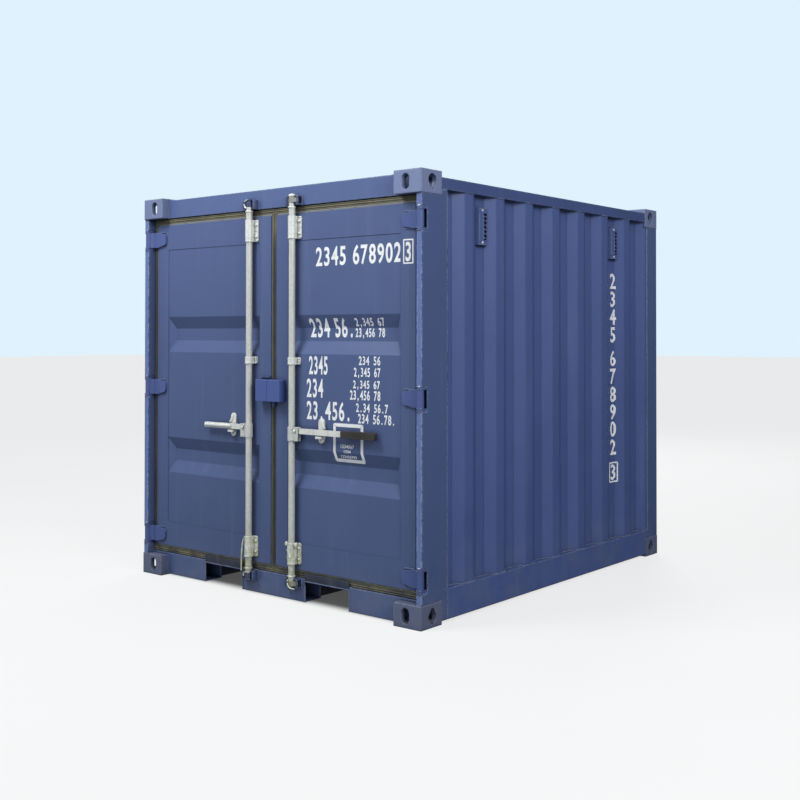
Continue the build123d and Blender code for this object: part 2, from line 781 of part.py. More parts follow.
def build_gaskets():
    """Rubber gaskets with a bevelled lip round the door edges, clear of the frame by a moving gap."""
    outer_x = (GASKET_MEETING_GAP / 2, POST_INNER - MOVING_GAP)
    outer_z = (SILL_TOP + MOVING_GAP, UPPER_CASTING - GASKET_TOP_GAP)
    across = (DOOR_FACE + GASKET_FRONT, DOOR_BACK + GASKET_BACK_LIP)
    with BuildPart() as gasket:
        block(outer_x, across, outer_z)
        chamfer(gasket.faces().sort_by(Axis.Y)[0].edges(), length=GASKET_LIP_BEVEL)
        block((DOOR_INNER, DOOR_OUTER), across, (DOOR_LOW, DOOR_HIGH), mode=Mode.SUBTRACT)
    save_pair(gasket, "door_gasket")


def build_lock_boxes():
    """Two halves of the lock box, open below, one on each door."""
    x_range = (LOCK_BOX_GAP / 2, LOCK_BOX_HALF_WIDTH)
    box_high = LOCK_BOX_LOW + LOCK_BOX_HEIGHT
    outer_corner = (LOCK_BOX_HALF_WIDTH, -HALF_L, box_high)
    with BuildPart() as half:
        block(x_range, (-HALF_L, DOOR_FACE), (LOCK_BOX_LOW, box_high))
        meeting = half.edges().sort_by_distance(outer_corner)[:3]
        chamfer(meeting, length=LOCK_BOX_EDGE)
        block(
            (x_range[0], x_range[1] - LOCK_BOX_WALL),
            (-HALF_L + LOCK_BOX_WALL, DOOR_FACE),
            (LOCK_BOX_LOW, box_high - LOCK_BOX_WALL),
            mode=Mode.SUBTRACT,
        )
    save_pair(half, "lock_box")


# Hinges

def build_hinge_lugs():
    """Lugs above and below each knuckle, joined by the hinge pin."""
    wall_inner = SIDE_FACE - POST_WALL
    lug_low = KNUCKLE_HEIGHT / 2 + LUG_CLEARANCE
    with BuildPart() as lugs:
        for height in HINGE_HEIGHTS:
            for bottom in (height - lug_low - LUG_HEIGHT, height + lug_low):
                with BuildSketch(Plane.XY.offset(bottom)) as lug:
                    with Locations(((POST_INNER + SIDE_FACE) / 2, HINGE_Y - LUG_NOSE)):
                        Rectangle(
                            POST_FLANGE,
                            LUG_NOSE + NOTCH_DEPTH - HINGE_INSET,
                            align=(Align.CENTER, Align.MIN),
                        )
                    chamfer(lug.vertices().group_by(Axis.Y)[0], length=LUG_CORNER)
                    with Locations(((POST_INNER + POST_WALL + wall_inner) / 2, HINGE_Y)):
                        Rectangle(
                            POST_FLANGE - 2 * POST_WALL,
                            NOTCH_RETURN,
                            align=(Align.CENTER, Align.MIN),
                        )
                extrude(amount=LUG_HEIGHT)
            with Locations((HINGE_X, HINGE_Y, height)):
                Cylinder(PIN_RADIUS, 2 * lug_low)
        mirror(about=Plane.YZ)
    save(lugs, "hinge_lugs")


def hinge_blade(height):
    """One blade on the door, cranked out to its knuckle round the pin."""
    blade_front = DOOR_FACE - BLADE_THICKNESS
    tip_x = HINGE_X - BLADE_REACH
    crank_x = HINGE_X - KNUCKLE_RADIUS
    shoulder_x = DOOR_OUTER - BLADE_SHOULDER
    with BuildPart() as blade:
        with BuildSketch(Plane.XY.offset(height - KNUCKLE_HEIGHT / 2)):
            with Locations((HINGE_X, HINGE_Y)):
                Circle(KNUCKLE_RADIUS)
            with BuildLine():
                Polyline(
                    (HINGE_X, HINGE_Y),
                    (crank_x, HINGE_Y),
                    (crank_x - CRANK_KNEE[0], HINGE_Y + CRANK_KNEE[1]),
                    (crank_x - CRANK_RUN, blade_front),
                    (tip_x, blade_front),
                    (tip_x, DOOR_FACE),
                    (HINGE_X - CRANK_SEAT, DOOR_FACE),
                    (HINGE_X, HINGE_Y + KNUCKLE_RADIUS),
                    close=True,
                )
            make_face()
        extrude(amount=KNUCKLE_HEIGHT)
        with BuildSketch(Plane.XZ.offset(-DOOR_FACE)):
            with Locations(((shoulder_x + HALF_W) / 2, height)):
                Rectangle(HALF_W - shoulder_x, KNUCKLE_HEIGHT)
            with Locations((tip_x + BLADE_TIP_RADIUS, height)):
                SlotOverall(
                    BLADE_TIP_SPREAD + 2 * BLADE_TIP_RADIUS,
                    2 * BLADE_TIP_RADIUS,
                    rotation=90,
                )
            make_hull()
        extrude(amount=DOOR_SET_BACK, mode=Mode.INTERSECT)
        with Locations((HINGE_X, HINGE_Y, height)):
            Cylinder(PIN_RADIUS + PIN_CLEARANCE, KNUCKLE_HEIGHT, mode=Mode.SUBTRACT)
    return blade


def build_hinge_blades():
    """Three hinge blades on each door."""
    pieces = [hinge_blade(height) for height in HINGE_HEIGHTS]
    with BuildPart() as blades:
        for piece in pieces:
            add(piece.part)
    save_pair(blades, "hinge_blades")


# Locking gear

def build_keepers():
    """Keepers on the header and sill, open to the front, round each cam."""
    front = DOOR_FACE - KEEPER_DEPTH
    plate = DOOR_FACE - KEEPER_PLATE
    with BuildPart() as keepers:
        for height in CAM_HEIGHTS:
            z_range = (height - KEEPER_HALF_HEIGHT, height + KEEPER_HALF_HEIGHT)
            block((BAR_X - KEEPER_HALF_WIDTH, BAR_X + KEEPER_HALF_WIDTH), (plate, DOOR_FACE), z_range)
            block((BAR_X - KEEPER_HALF_WIDTH, BAR_X - KEEPER_INNER), (front, plate), z_range)
            block((BAR_X + KEEPER_INNER, BAR_X + KEEPER_HALF_WIDTH), (front, plate), z_range)
            block(
                (BAR_X + KEEPER_INNER, BAR_X + KEEPER_HALF_WIDTH),
                (front, plate),
                (z_range[0] + KEEPER_JAW, z_range[1] - KEEPER_JAW),
                mode=Mode.SUBTRACT,
            )
        jaw_corners = keepers.edges().filter_by(Axis.Z).group_by(Axis.Y)[0]
        chamfer(jaw_corners, length=KEEPER_CORNER)
        mirror(about=Plane.YZ)
    save(keepers, "bar_keepers")


def build_lock_bars():
    """Tubes of the locking bars, each with the hub that holds the handle."""
    low = CAM_HEIGHTS[0] + CAM_HEIGHT / 2
    high = CAM_HEIGHTS[1] - CAM_HEIGHT / 2
    plate_front = HANDLE_THICKNESS / 2 + CLEVIS_GAP
    with BuildPart() as bar:
        with BuildSketch(Plane.XY.offset(low)):
            with Locations((BAR_X, BAR_Y)):
                Circle(BAR_RADIUS)
        extrude(amount=high - low)
        with BuildSketch(Plane.XY.offset(HUB_LOW)):
            with Locations((BAR_X, BAR_Y)):
                Circle(BAR_RADIUS + STRAP_WALL)
                for side in (-1, 1):
                    with Locations((0, side * (plate_front + CLEVIS_PLATE / 2))):
                        Rectangle(HUB_REACH, CLEVIS_PLATE, align=(Align.MIN, Align.CENTER))
        extrude(amount=HUB_HIGH - HUB_LOW)
        block(
            (BAR_X + BAR_RADIUS, BAR_X + HUB_REACH),
            (BAR_Y - plate_front, BAR_Y + plate_front),
            (HUB_LOW, HUB_HIGH),
            mode=Mode.SUBTRACT,
        )
        with BuildSketch(Plane.XY.offset(low)):
            with Locations((BAR_X, BAR_Y)):
                Circle(BAR_RADIUS - BAR_WALL)
        extrude(amount=high - low, mode=Mode.SUBTRACT)
        with Locations(Location((BAR_X + PIVOT_REACH, BAR_Y, HANDLE_Z), (90, 0, 0))):
            Cylinder(PIVOT_RADIUS, 2 * (plate_front + CLEVIS_PLATE))
    save_pair(bar, "lock_bar")


def build_bar_cams():
    """Forged cams welded to both ends of each bar, with the bar's end beyond them."""
    with BuildPart() as cams:
        for height, outward in zip(CAM_HEIGHTS, (-1, 1)):
            with BuildSketch(Plane.XY.offset(height - CAM_HEIGHT / 2)):
                with Locations((BAR_X, BAR_Y)):
                    Circle(CAM_RADIUS)
                with Locations((BAR_X + CAM_REACH - CAM_TIP_RADIUS, BAR_Y)):
                    Circle(CAM_TIP_RADIUS)
                make_hull()
            extrude(amount=CAM_HEIGHT)
            with BuildSketch(Plane.XY.offset(height)):
                with Locations((BAR_X, BAR_Y)):
                    Circle(BAR_RADIUS)
            extrude(amount=outward * BAR_END)
    save_pair(cams, "bar_cams")


def bar_bracket(middle, height, half_width, seat):
    """One bracket round the bar, on a plate that is seated at a depth."""
    with BuildPart() as bracket:
        with BuildSketch(Plane.XZ.offset(-seat)) as plate:
            with Locations((BAR_X, middle)):
                Rectangle(2 * half_width, height)
            chamfer(plate.vertices(), length=BRACKET_CORNER)
        extrude(amount=seat - DOOR_FACE + BRACKET_PLATE)
        with BuildSketch(Plane.XY.offset(middle - height / 2)):
            with Locations((BAR_X, BAR_Y)):
                Circle(BAR_RADIUS + STRAP_WALL)
                Rectangle(
                    2 * (BAR_RADIUS + STRAP_WALL),
                    BAR_STAND_OFF,
                    align=(Align.CENTER, Align.MIN),
                )
        extrude(amount=height)
        with Locations((BAR_X, BAR_Y, middle)):
            Cylinder(BAR_RADIUS + BAR_CLEARANCE, height, mode=Mode.SUBTRACT)
    return bracket


def handle_catch(catch_x):
    """Oval catch plate on the door panel, with a ledge below the handle."""
    ledge_top = HANDLE_Z - HANDLE_HEIGHT / 2 - CATCH_LEDGE_GAP
    with BuildPart() as catch:
        with BuildSketch(Plane.XZ.offset(-PANEL_FACE)):
            with Locations((catch_x, HANDLE_Z + (CATCH_RISE - CATCH_DROP) / 2)):
                SlotOverall(CATCH_RISE + CATCH_DROP, CATCH_WIDTH, rotation=90)
        extrude(amount=CATCH_PLATE)
        block(
            (catch_x - CATCH_WIDTH / 2, catch_x + CATCH_WIDTH / 2),
            (BAR_Y - HANDLE_THICKNESS, PANEL_FACE),
            (ledge_top - CATCH_LEDGE, ledge_top),
        )
    return catch


def build_brackets():
    """Bar brackets, the middle guide and the handle catch on each door."""
    lower_z = DOOR_LOW + LOWER_BRACKET_RISE
    upper_z = DOOR_HIGH - UPPER_BRACKET_DROP
    carriers = [
        bar_bracket(lower_z, LOWER_BRACKET_HEIGHT, BRACKET_HALF_WIDTH, DOOR_FACE),
        bar_bracket(upper_z, UPPER_BRACKET_HEIGHT, BRACKET_HALF_WIDTH, DOOR_FACE),
        bar_bracket(GUIDE_Z, GUIDE_HEIGHT, GUIDE_HALF_WIDTH, PANEL_FACE),
    ]
    for side_name, catch_x in CATCH_X.items():
        catch = handle_catch(catch_x)
        with BuildPart() as brackets:
            for piece in (*carriers, catch):
                add(piece.part)
        if side_name == "left":
            brackets = mirrored(brackets, Plane.YZ)
        save(brackets, f"lock_brackets_{side_name}")


def handle(reach):
    """Flat handle from its pivot eye in the hub out to a rounded tip."""
    root = BAR_X + PIVOT_REACH - HANDLE_HEIGHT / 2
    tip = BAR_X + reach
    with BuildPart() as lever:
        with BuildSketch(Plane.XZ.offset(-BAR_Y - HANDLE_THICKNESS / 2)):
            with Locations(((root + tip) / 2, HANDLE_Z)):
                SlotOverall(tip - root, HANDLE_HEIGHT)
        extrude(amount=HANDLE_THICKNESS)
        with Locations(Location((BAR_X + PIVOT_REACH, BAR_Y, HANDLE_Z), (90, 0, 0))):
            Cylinder(PIVOT_RADIUS + PIN_CLEARANCE, HANDLE_THICKNESS, mode=Mode.SUBTRACT)
    return lever


def build_handles():
    """Both handles, and the rubber grip on the longer one."""
    longer = handle(RIGHT_HANDLE_REACH)
    save(longer, "handle_right")
    save(mirrored(handle(LEFT_HANDLE_REACH), Plane.YZ), "handle_left")
    grip_end = BAR_X + RIGHT_HANDLE_REACH + GRIP_END
    with BuildPart() as grip:
        with BuildSketch(Plane.XZ.offset(-BAR_Y - GRIP_THICKNESS / 2)):
            with Locations((grip_end - GRIP_LENGTH / 2, HANDLE_Z)):
                RectangleRounded(GRIP_LENGTH, GRIP_HEIGHT, GRIP_CORNER)
        extrude(amount=GRIP_THICKNESS)
        add(longer.part, mode=Mode.SUBTRACT)
    save(grip, "handle_grip_right")


def main():
    """Build every piece in turn."""
    os.makedirs("parts", exist_ok=True)
    build_castings()
    build_door_posts()
    build_rear_posts()
    build_door_header()
    build_door_sill()
    build_rear_header()
    build_rear_sill()
    build_side_rails()
    build_side_walls()
    build_rear_wall()
    build_roof()
    build_vents()
    build_floor()
    build_underframe()
    build_door_frames()
    build_door_panels()
    build_gaskets()
    build_lock_boxes()
    build_hinge_lugs()
    build_hinge_blades()
    build_keepers()
    build_lock_bars()
    build_bar_cams()
    build_brackets()
    build_handles()


main()
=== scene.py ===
"""Finish of a short steel shipping container: paint, zinc, rubber, digits, welds, fasteners and a studio."""

import json
import math
import random

import bmesh
import bpy
from bpy.props import FloatProperty, FloatVectorProperty, PointerProperty
from mathutils import Matrix, Vector
from mathutils.bvhtree import BVHTree


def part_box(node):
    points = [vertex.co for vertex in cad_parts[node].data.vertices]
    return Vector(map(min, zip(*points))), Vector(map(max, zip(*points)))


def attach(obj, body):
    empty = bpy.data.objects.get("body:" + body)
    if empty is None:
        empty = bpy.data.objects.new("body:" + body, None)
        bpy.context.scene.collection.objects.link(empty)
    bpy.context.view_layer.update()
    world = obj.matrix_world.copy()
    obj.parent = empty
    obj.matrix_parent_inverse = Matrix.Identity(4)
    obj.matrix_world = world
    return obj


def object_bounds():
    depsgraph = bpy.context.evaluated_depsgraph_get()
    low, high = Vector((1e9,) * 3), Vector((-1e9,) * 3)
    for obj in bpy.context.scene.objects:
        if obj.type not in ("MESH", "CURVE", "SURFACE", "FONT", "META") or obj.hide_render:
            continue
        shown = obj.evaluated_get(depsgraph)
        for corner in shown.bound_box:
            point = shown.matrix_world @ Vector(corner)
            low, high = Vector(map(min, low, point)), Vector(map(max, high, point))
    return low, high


bl_info = {
    "name": "Shipping container finish",
    "version": (1, 0, 0),
    "blender": (4, 5, 0),
    "location": "View3D > Sidebar > Container",
    "description": "Paints and details a short steel shipping container",
    "category": "Object",
}

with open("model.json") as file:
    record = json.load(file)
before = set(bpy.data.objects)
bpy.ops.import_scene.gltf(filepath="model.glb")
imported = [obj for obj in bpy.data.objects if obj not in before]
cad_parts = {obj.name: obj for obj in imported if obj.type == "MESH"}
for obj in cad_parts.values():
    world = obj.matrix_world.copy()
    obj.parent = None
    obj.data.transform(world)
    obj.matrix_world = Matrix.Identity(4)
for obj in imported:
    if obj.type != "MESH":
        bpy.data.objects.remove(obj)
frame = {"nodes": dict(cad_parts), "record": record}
CAD_BOX = [list(corner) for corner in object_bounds()]

SIDES = {"left": -1, "right": 1}

# Camera fitted to the photograph, in metres, degrees and millimetres of lens
CAMERA_PLACE = (4.541, -5.347, 1.448)
CAMERA_TURN = (90.71, 0.0, 37.82)
CAMERA_LENS = 49.59
CAMERA_SENSOR = 36.0
CAMERA_SHIFT = (-0.0743, -0.1001)

# Planes that flat marks lie in: from the mark's own XY to the row frame
FACING_DOORS = Matrix(((1, 0, 0), (0, 0, -1), (0, 1, 0))).to_4x4()
FACING_RIGHT = Matrix(((0, 0, 1), (1, 0, 0), (0, 1, 0))).to_4x4()
FACING_LEFT = Matrix(((0, 0, -1), (-1, 0, 0), (0, 1, 0))).to_4x4()


def size_property(name, description, default):
    """A length that the user can set."""
    return FloatProperty(name=name, description=description, default=default, unit="LENGTH")


def colour_property(name, description, default):
    """A colour that the user can set."""
    return FloatVectorProperty(
        name=name, description=description, default=default, size=3, min=0.0, max=1.0, subtype="COLOR"
    )


class ContainerSizes(bpy.types.PropertyGroup):
    """Sizes of the added details."""

    mark_thickness: size_property("Mark thickness", "How far painted marks stand off the sheet", 0.0006)
    edge_radius: size_property("Edge radius", "Soft radius of rolled and cut edges", 0.004)
    bend_radius: size_property("Bend radius", "Soft radius of the folded posts, rails and header", 0.010)
    weld_radius: size_property("Weld radius", "Half the width of a weld bead", 0.0045)
    bolt_radius: size_property("Bolt radius", "Radius of the domed bolts on the lock gear", 0.009)


class ContainerColours(bpy.types.PropertyGroup):
    """Colours of the paints, metals and rubber."""

    body_blue: colour_property("Body paint", "Paint of the frame and walls", (0.060, 0.092, 0.244))
    door_blue: colour_property("Door paint", "Paint of the doors", (0.062, 0.093, 0.208))
    box_blue: colour_property("Lock box paint", "Paint of the lock box", (0.056, 0.090, 0.265))
    under_black: colour_property("Underframe paint", "Paint of the cross members", (0.020, 0.026, 0.050))
    zinc: colour_property("Zinc", "Zinc coat of the lock gear", (0.69, 0.70, 0.66))
    seal_rubber: colour_property("Door rubber", "Rubber of the door seals", (0.028, 0.029, 0.026))
    grip_rubber: colour_property("Grip rubber", "Rubber of the handle grip", (0.022, 0.018, 0.016))
    plywood: colour_property("Plywood", "Wood of the floor", (0.36, 0.22, 0.12))
    casting_blue: colour_property("Casting paint", "Paint over the rough castings", (0.098, 0.120, 0.210))
    frame_blue: colour_property(
        "Frame paint", "Paint of the posts, rails, header and sill", (0.062, 0.094, 0.215)
    )
    weld_blue: colour_property("Weld paint", "Paint rubbed thin over the weld beads", (0.110, 0.140, 0.250))
    mark_white: colour_property("Marking white", "Paint of the digits", (0.80, 0.81, 0.82))
    floor_grey: colour_property("Studio floor", "Colour of the studio floor", (0.80, 0.80, 0.80))


def sizes():
    """Sizes that the user set."""
    return bpy.context.scene.container_sizes


def colour(name):
    """A colour that the user set, with an alpha of one."""
    return (*getattr(bpy.context.scene.container_colours, name), 1.0)


def darker(shade, share):
    """A colour scaled by a share, with an alpha of one."""
    return (shade[0] * share, shade[1] * share, shade[2] * share, 1.0)


def painted_light_tint(shade, share):
    """A colour scaled by a share and drained a little towards grey, used for painted light."""
    grey = sum(shade[:3]) / 3
    return (*(channel * share * 0.94 + grey * 0.06 for channel in shade[:3]), 1.0)


# Shader nodes

def node(tree, kind, inputs=None, **settings):
    """Add a shader node, apply its settings and fill or link its inputs."""
    made = tree.nodes.new(kind)
    for name, value in settings.items():
        setattr(made, name, value)
    for key, value in (inputs or {}).items():
        if isinstance(value, bpy.types.NodeSocket):
            tree.links.new(value, made.inputs[key])
        else:
            made.inputs[key].default_value = value
    return made


def mixed(tree, share, first, second):
    """Mix of two colours by a share."""
    return node(tree, "ShaderNodeMix", {"Factor": share, 6: first, 7: second}, data_type="RGBA").outputs[2]


def layered(tree, surface, *layers):
    """Colours laid over a surface one by one, each by its mask."""
    for mask, shade in layers:
        surface = mixed(tree, mask, surface, shade)
    return surface


def ranged(tree, value, low, high, to_low=0.0, to_high=1.0):
    """A value mapped from one range to another, smooth at both ends."""
    inputs = {"Value": value, "From Min": low, "From Max": high, "To Min": to_low, "To Max": to_high}
    return node(tree, "ShaderNodeMapRange", inputs, interpolation_type="SMOOTHSTEP").outputs["Result"]


def product(tree, first, second):
    """Product of two values."""
    return node(tree, "ShaderNodeMath", {0: first, 1: second}, operation="MULTIPLY").outputs[0]


def object_place(tree):
    """Place in the object's own coordinates."""
    return node(tree, "ShaderNodeTexCoord").outputs["Object"]


def height_of(tree, place):
    """Height of a place."""
    return node(tree, "ShaderNodeSeparateXYZ", {0: place}).outputs["Z"]


def noise(tree, place, scale, detail, **more):
    """Value of a noise texture."""
    inputs = {"Vector": place, "Scale": scale, "Detail": detail, **more}
    return node(tree, "ShaderNodeTexNoise", inputs).outputs["Fac"]


def raised(tree, height, strength, distance, normal=None):
    """Normal of a surface raised by a height."""
    inputs = {"Strength": strength, "Distance": distance, "Height": height}
    if normal is not None:
        inputs["Normal"] = normal
    return node(tree, "ShaderNodeBump", inputs).outputs["Normal"]


def new_group(name, inputs, outputs):
    """An empty node group with float, colour or vector sockets."""
    tree = bpy.data.node_groups.new(name, "ShaderNodeTree")
    for socket, (kind, default) in inputs.items():
        made = tree.interface.new_socket(socket, in_out="INPUT", socket_type="NodeSocket" + kind)
        if default is not None:
            made.default_value = default
    for socket, kind in outputs.items():
        tree.interface.new_socket(socket, in_out="OUTPUT", socket_type="NodeSocket" + kind)
    start = node(tree, "NodeGroupInput")
    end = node(tree, "NodeGroupOutput")
    return tree, start.outputs, end.inputs


def placed(tree, name, inputs=None):
    """A node group placed in a tree, and its outputs."""
    return node(tree, "ShaderNodeGroup", inputs, node_tree=bpy.data.node_groups[name]).outputs


def patches(tree, scale, low, high, stretch=(1.0, 1.0, 1.0)):
    """Mask of soft patches of a size."""
    inputs = {"Stretch": stretch, "Scale": scale, "Low": low, "High": high}
    return placed(tree, "soft_patches", inputs)["Mask"]


def edge_group():
    """Masks of worn outer edges and of painted shade in sheltered corners, and a softened normal."""
    tree, start, end = new_group(
        "edge_wear_and_corner_shade",
        {"Radius": ("Float", 0.004), "Reach": ("Float", 0.05)},
        {"Edge": "Float", "Corner": "Float", "Normal": "Vector"},
    )
    soft = node(tree, "ShaderNodeBevel", {"Radius": start["Radius"]}, samples=4).outputs["Normal"]
    flat = node(tree, "ShaderNodeNewGeometry").outputs["Normal"]
    turn = node(tree, "ShaderNodeVectorMath", {0: soft, 1: flat}, operation="DOT_PRODUCT").outputs["Value"]
    shelter = node(tree, "ShaderNodeAmbientOcclusion", {"Distance": start["Reach"]}, samples=4).outputs["AO"]
    edge = ranged(tree, turn, 0.99, 0.82)
    tree.links.new(product(tree, edge, ranged(tree, shelter, 0.75, 0.95)), end["Edge"])
    tree.links.new(ranged(tree, shelter, 0.85, 0.35), end["Corner"])
    tree.links.new(soft, end["Normal"])


def patch_group():
    """A mask of soft patches in object space, with a size and a stretch along each axis."""
    tree, start, end = new_group(
        "soft_patches",
        {"Stretch": ("Vector", (1.0, 1.0, 1.0)), "Scale": ("Float", 5.0), "Low": ("Float", 0.45),
         "High": ("Float", 0.7)},
        {"Mask": "Float"},
    )
    place = object_place(tree)
    stretched = node(tree, "ShaderNodeVectorMath", {0: place, 1: start["Stretch"]}, operation="MULTIPLY")
    place = stretched.outputs["Vector"]
    clouds = noise(tree, place, start["Scale"], 4.0, Roughness=0.6)
    tree.links.new(ranged(tree, clouds, start["Low"], start["High"]), end["Mask"])


def dust_group():
    """Road dust that thins out with height and gathers in patches."""
    tree, start, end = new_group("road_dust", {"Top": ("Float", 0.5)}, {"Mask": "Float"})
    low = ranged(tree, height_of(tree, object_place(tree)), start["Top"], 0.0)
    tree.links.new(product(tree, low, patches(tree, 7.0, 0.3, 0.75)), end["Mask"])


def height_light_group():
    """A mask of painted light by height, stronger towards the roof and uneven at its limit."""
    limits = {"Low": ("Float", 0.1), "High": ("Float", 2.3)}
    tree, start, end = new_group("painted_height_light", limits, {"Mask": "Float"})
    place = object_place(tree)
    height = height_of(tree, place)
    drift = noise(tree, place, 0.9, 1.0)
    drift = node(tree, "ShaderNodeMath", {0: drift, 1: 0.5, 2: height}, operation="MULTIPLY_ADD").outputs[0]
    inputs = {"Value": drift, "From Min": start["Low"], "From Max": start["High"]}
    tree.links.new(node(tree, "ShaderNodeMapRange", inputs).outputs["Result"], end["Mask"])


def front_light_group():
    """A mask of the faces that look out from the doors, where paint is made lighter as painted light."""
    tree, start, end = new_group("painted_front_light", {"Share": ("Float", 1.0)}, {"Mask": "Float"})
    facing = node(tree, "ShaderNodeTexCoord").outputs["Normal"]
    facing = node(tree, "ShaderNodeVectorMath", {0: facing, 1: (0.0, -1.0, 0.0)}, operation="DOT_PRODUCT")
    mask = ranged(tree, facing.outputs["Value"], 0.3, 0.9)
    tree.links.new(product(tree, mask, start["Share"]), end["Mask"])


def skin_group():
    """Height of sprayed paint: broad waves of the sheet and a fine orange peel."""
    tree, start, end = new_group(
        "paint_skin", {"Waves": ("Float", 1.0), "Peel": ("Float", 1.0)}, {"Height": "Float"}
    )
    place = object_place(tree)
    waves = noise(tree, place, 5.0, 1.0)
    peel = noise(tree, place, 320.0, 2.0)
    broad = product(tree, waves, start["Waves"])
    fine = product(tree, product(tree, peel, start["Peel"]), 0.02)
    both = node(tree, "ShaderNodeMath", {0: broad, 1: fine}, operation="ADD").outputs[0]
    tree.links.new(both, end["Height"])


def new_material(name):
    """A material with only a Principled shader, its tree and that shader."""
    material = bpy.data.materials.new(name)
    material.use_nodes = True
    tree = material.node_tree
    shader = tree.nodes["Principled BSDF"]
    return material, tree, shader


def fill(tree, shader, **sockets):
    """Set or link sockets of a shader, with spaces in their names written as underscores."""
    for name, value in sockets.items():
        socket = shader.inputs[name.replace("_", " ")]
        if isinstance(value, bpy.types.NodeSocket):
            tree.links.new(value, socket)
        else:
            socket.default_value = value


RAIN_GREY = (0.22, 0.25, 0.31, 1.0)
RUBBED_PAINT = (0.34, 0.38, 0.47, 1.0)
ROAD_DUST = (0.20, 0.19, 0.18, 1.0)
# Brown laid in sheltered corners of the zinc: grime together with painted shade
GRIME_AND_CORNER_SHADE = (0.10, 0.085, 0.06, 1.0)
RUST = (0.24, 0.12, 0.05, 1.0)


def paint(
    name, shade, gloss=0.4, radius=0.004, waves=1.0, peel=1.0, wear=0.5, dust=0.45, cast=0.0, level=0.35,
    height_light=(0.80, 1.08), front=0.0
):
    """Sprayed steel: painted light that is darker at the foot and lighter towards the roof, tone changes,
    rubbed edges, painted shade in corners, rain streaks, dust low down and, where asked, painted light on
    faces that look out from the doors.
    """
    material, tree, shader = new_material(name)
    edges = placed(tree, "edge_wear_and_corner_shade", {"Radius": radius})
    tone = patches(tree, 1.7, 0.25, 0.75)
    streaks = patches(tree, 16.0, 0.52, 0.8, (1.0, 1.0, 0.06))
    chips = patches(tree, 60.0, 0.42, 0.62)
    height_lit = placed(tree, "painted_height_light")["Mask"]
    # Painted light: the colour is darker at the foot and lighter towards the roof, by the two shares given
    surface = mixed(tree, height_lit, darker(shade, height_light[0]), painted_light_tint(shade, height_light[1]))
    surface = mixed(tree, product(tree, tone, 0.5), surface, darker(shade, 1.10))
    # Painted light: faces that look out from the doors are made much lighter
    if front:
        facing = placed(tree, "painted_front_light", {"Share": front})["Mask"]
        surface = mixed(tree, facing, surface, painted_light_tint(shade, 2.2))
    surface = layered(
        tree, surface,
        (product(tree, streaks, 0.10), RAIN_GREY),
        # Painted shade: darker in sheltered corners
        (product(tree, edges["Corner"], 0.60), darker(shade, 0.30)),
        (product(tree, product(tree, edges["Edge"], chips), wear), RUBBED_PAINT),
        (product(tree, placed(tree, "road_dust", {"Top": dust})["Mask"], 0.20), ROAD_DUST),
    )
    rough = ranged(tree, tone, 0.0, 1.0, gloss - 0.04, gloss + 0.08)
    skin = placed(tree, "paint_skin", {"Waves": waves, "Peel": peel})["Height"]
    bump = raised(tree, skin, 0.35, 0.006, edges["Normal"])
    if cast:
        bump = raised(tree, noise(tree, object_place(tree), 90.0, 5.0), cast, 0.002, bump)
    fill(tree, shader, Base_Color=surface, Roughness=rough, Normal=bump, Specular_IOR_Level=level)
    return material


def zinc(name, shade, rough=0.40, metal=0.20):
    """Zinc coated steel with a faint spangle, grey runs, specks of rust and moss low down."""
    material, tree, shader = new_material(name)
    place = object_place(tree)
    spangle = node(tree, "ShaderNodeTexVoronoi", {"Vector": place, "Scale": 110.0}).outputs["Color"]
    spangle = node(tree, "ShaderNodeSeparateColor", {0: spangle}).outputs[0]
    edges = placed(tree, "edge_wear_and_corner_shade", {"Radius": 0.0015, "Reach": 0.02})
    runs = patches(tree, 38.0, 0.45, 0.75, (1.0, 1.0, 0.15))
    rust = patches(tree, 45.0, 0.68, 0.80)
    low = ranged(tree, height_of(tree, place), 0.45, 0.20)
    moss = product(tree, low, patches(tree, 40.0, 0.35, 0.6))
    surface = layered(
        tree, mixed(tree, spangle, darker(shade, 0.92), darker(shade, 1.06)),
        (product(tree, runs, 0.35), darker(shade, 0.60)),
        (product(tree, moss, 0.9), (shade[0] * 0.66, shade[1] * 0.66, shade[2] * 0.42, 1.0)),
        # Grime and painted shade together in sheltered corners
        (product(tree, edges["Corner"], 0.65), GRIME_AND_CORNER_SHADE),
        (product(tree, rust, 0.5), RUST),
    )
    bump = raised(tree, runs, 0.25, 0.0008, edges["Normal"])
    uneven = ranged(tree, spangle, 0.0, 1.0, rough - 0.05, rough + 0.08)
    fill(tree, shader, Base_Color=surface, Roughness=uneven, Normal=bump, Metallic=metal)
    return material


def rubber(name, shade, dusty, top=None):
    """Dull rubber with fine grain, a bloom of dust, painted shade in corners and, where asked, moss at the
    top and foot, made lighter at the top as painted light against the shade under the header.
    """
    material, tree, shader = new_material(name)
    bloom = patches(tree, 9.0, 0.35, 0.7)
    edges = placed(tree, "edge_wear_and_corner_shade", {"Radius": 0.0025, "Reach": 0.03})
    place = object_place(tree)
    grain = noise(tree, place, 420.0, 3.0)
    surface = mixed(tree, product(tree, bloom, 0.5), shade, dusty)
    if top:
        height = height_of(tree, place)
        # Moss at the top, lighter than the rubber: real moss and painted light over the shade under the
        # header
        moss = product(tree, ranged(tree, height, 1.90, 2.10), ranged(tree, bloom, 0.0, 1.0, 0.55, 1.0))
        foot = product(tree, ranged(tree, height, 0.24, 0.16), bloom)
        surface = mixed(tree, moss, surface, top)
        surface = mixed(tree, product(tree, foot, 0.8), surface, top)
    # Painted shade: darker in sheltered corners
    surface = mixed(tree, product(tree, edges["Corner"], 0.55), surface, darker(shade, 0.3))
    bump = raised(tree, grain, 0.4, 0.0006, edges["Normal"])
    uneven = ranged(tree, bloom, 0.0, 1.0, 0.56, 0.76)
    fill(tree, shader, Base_Color=surface, Roughness=uneven, Normal=bump)
    return material


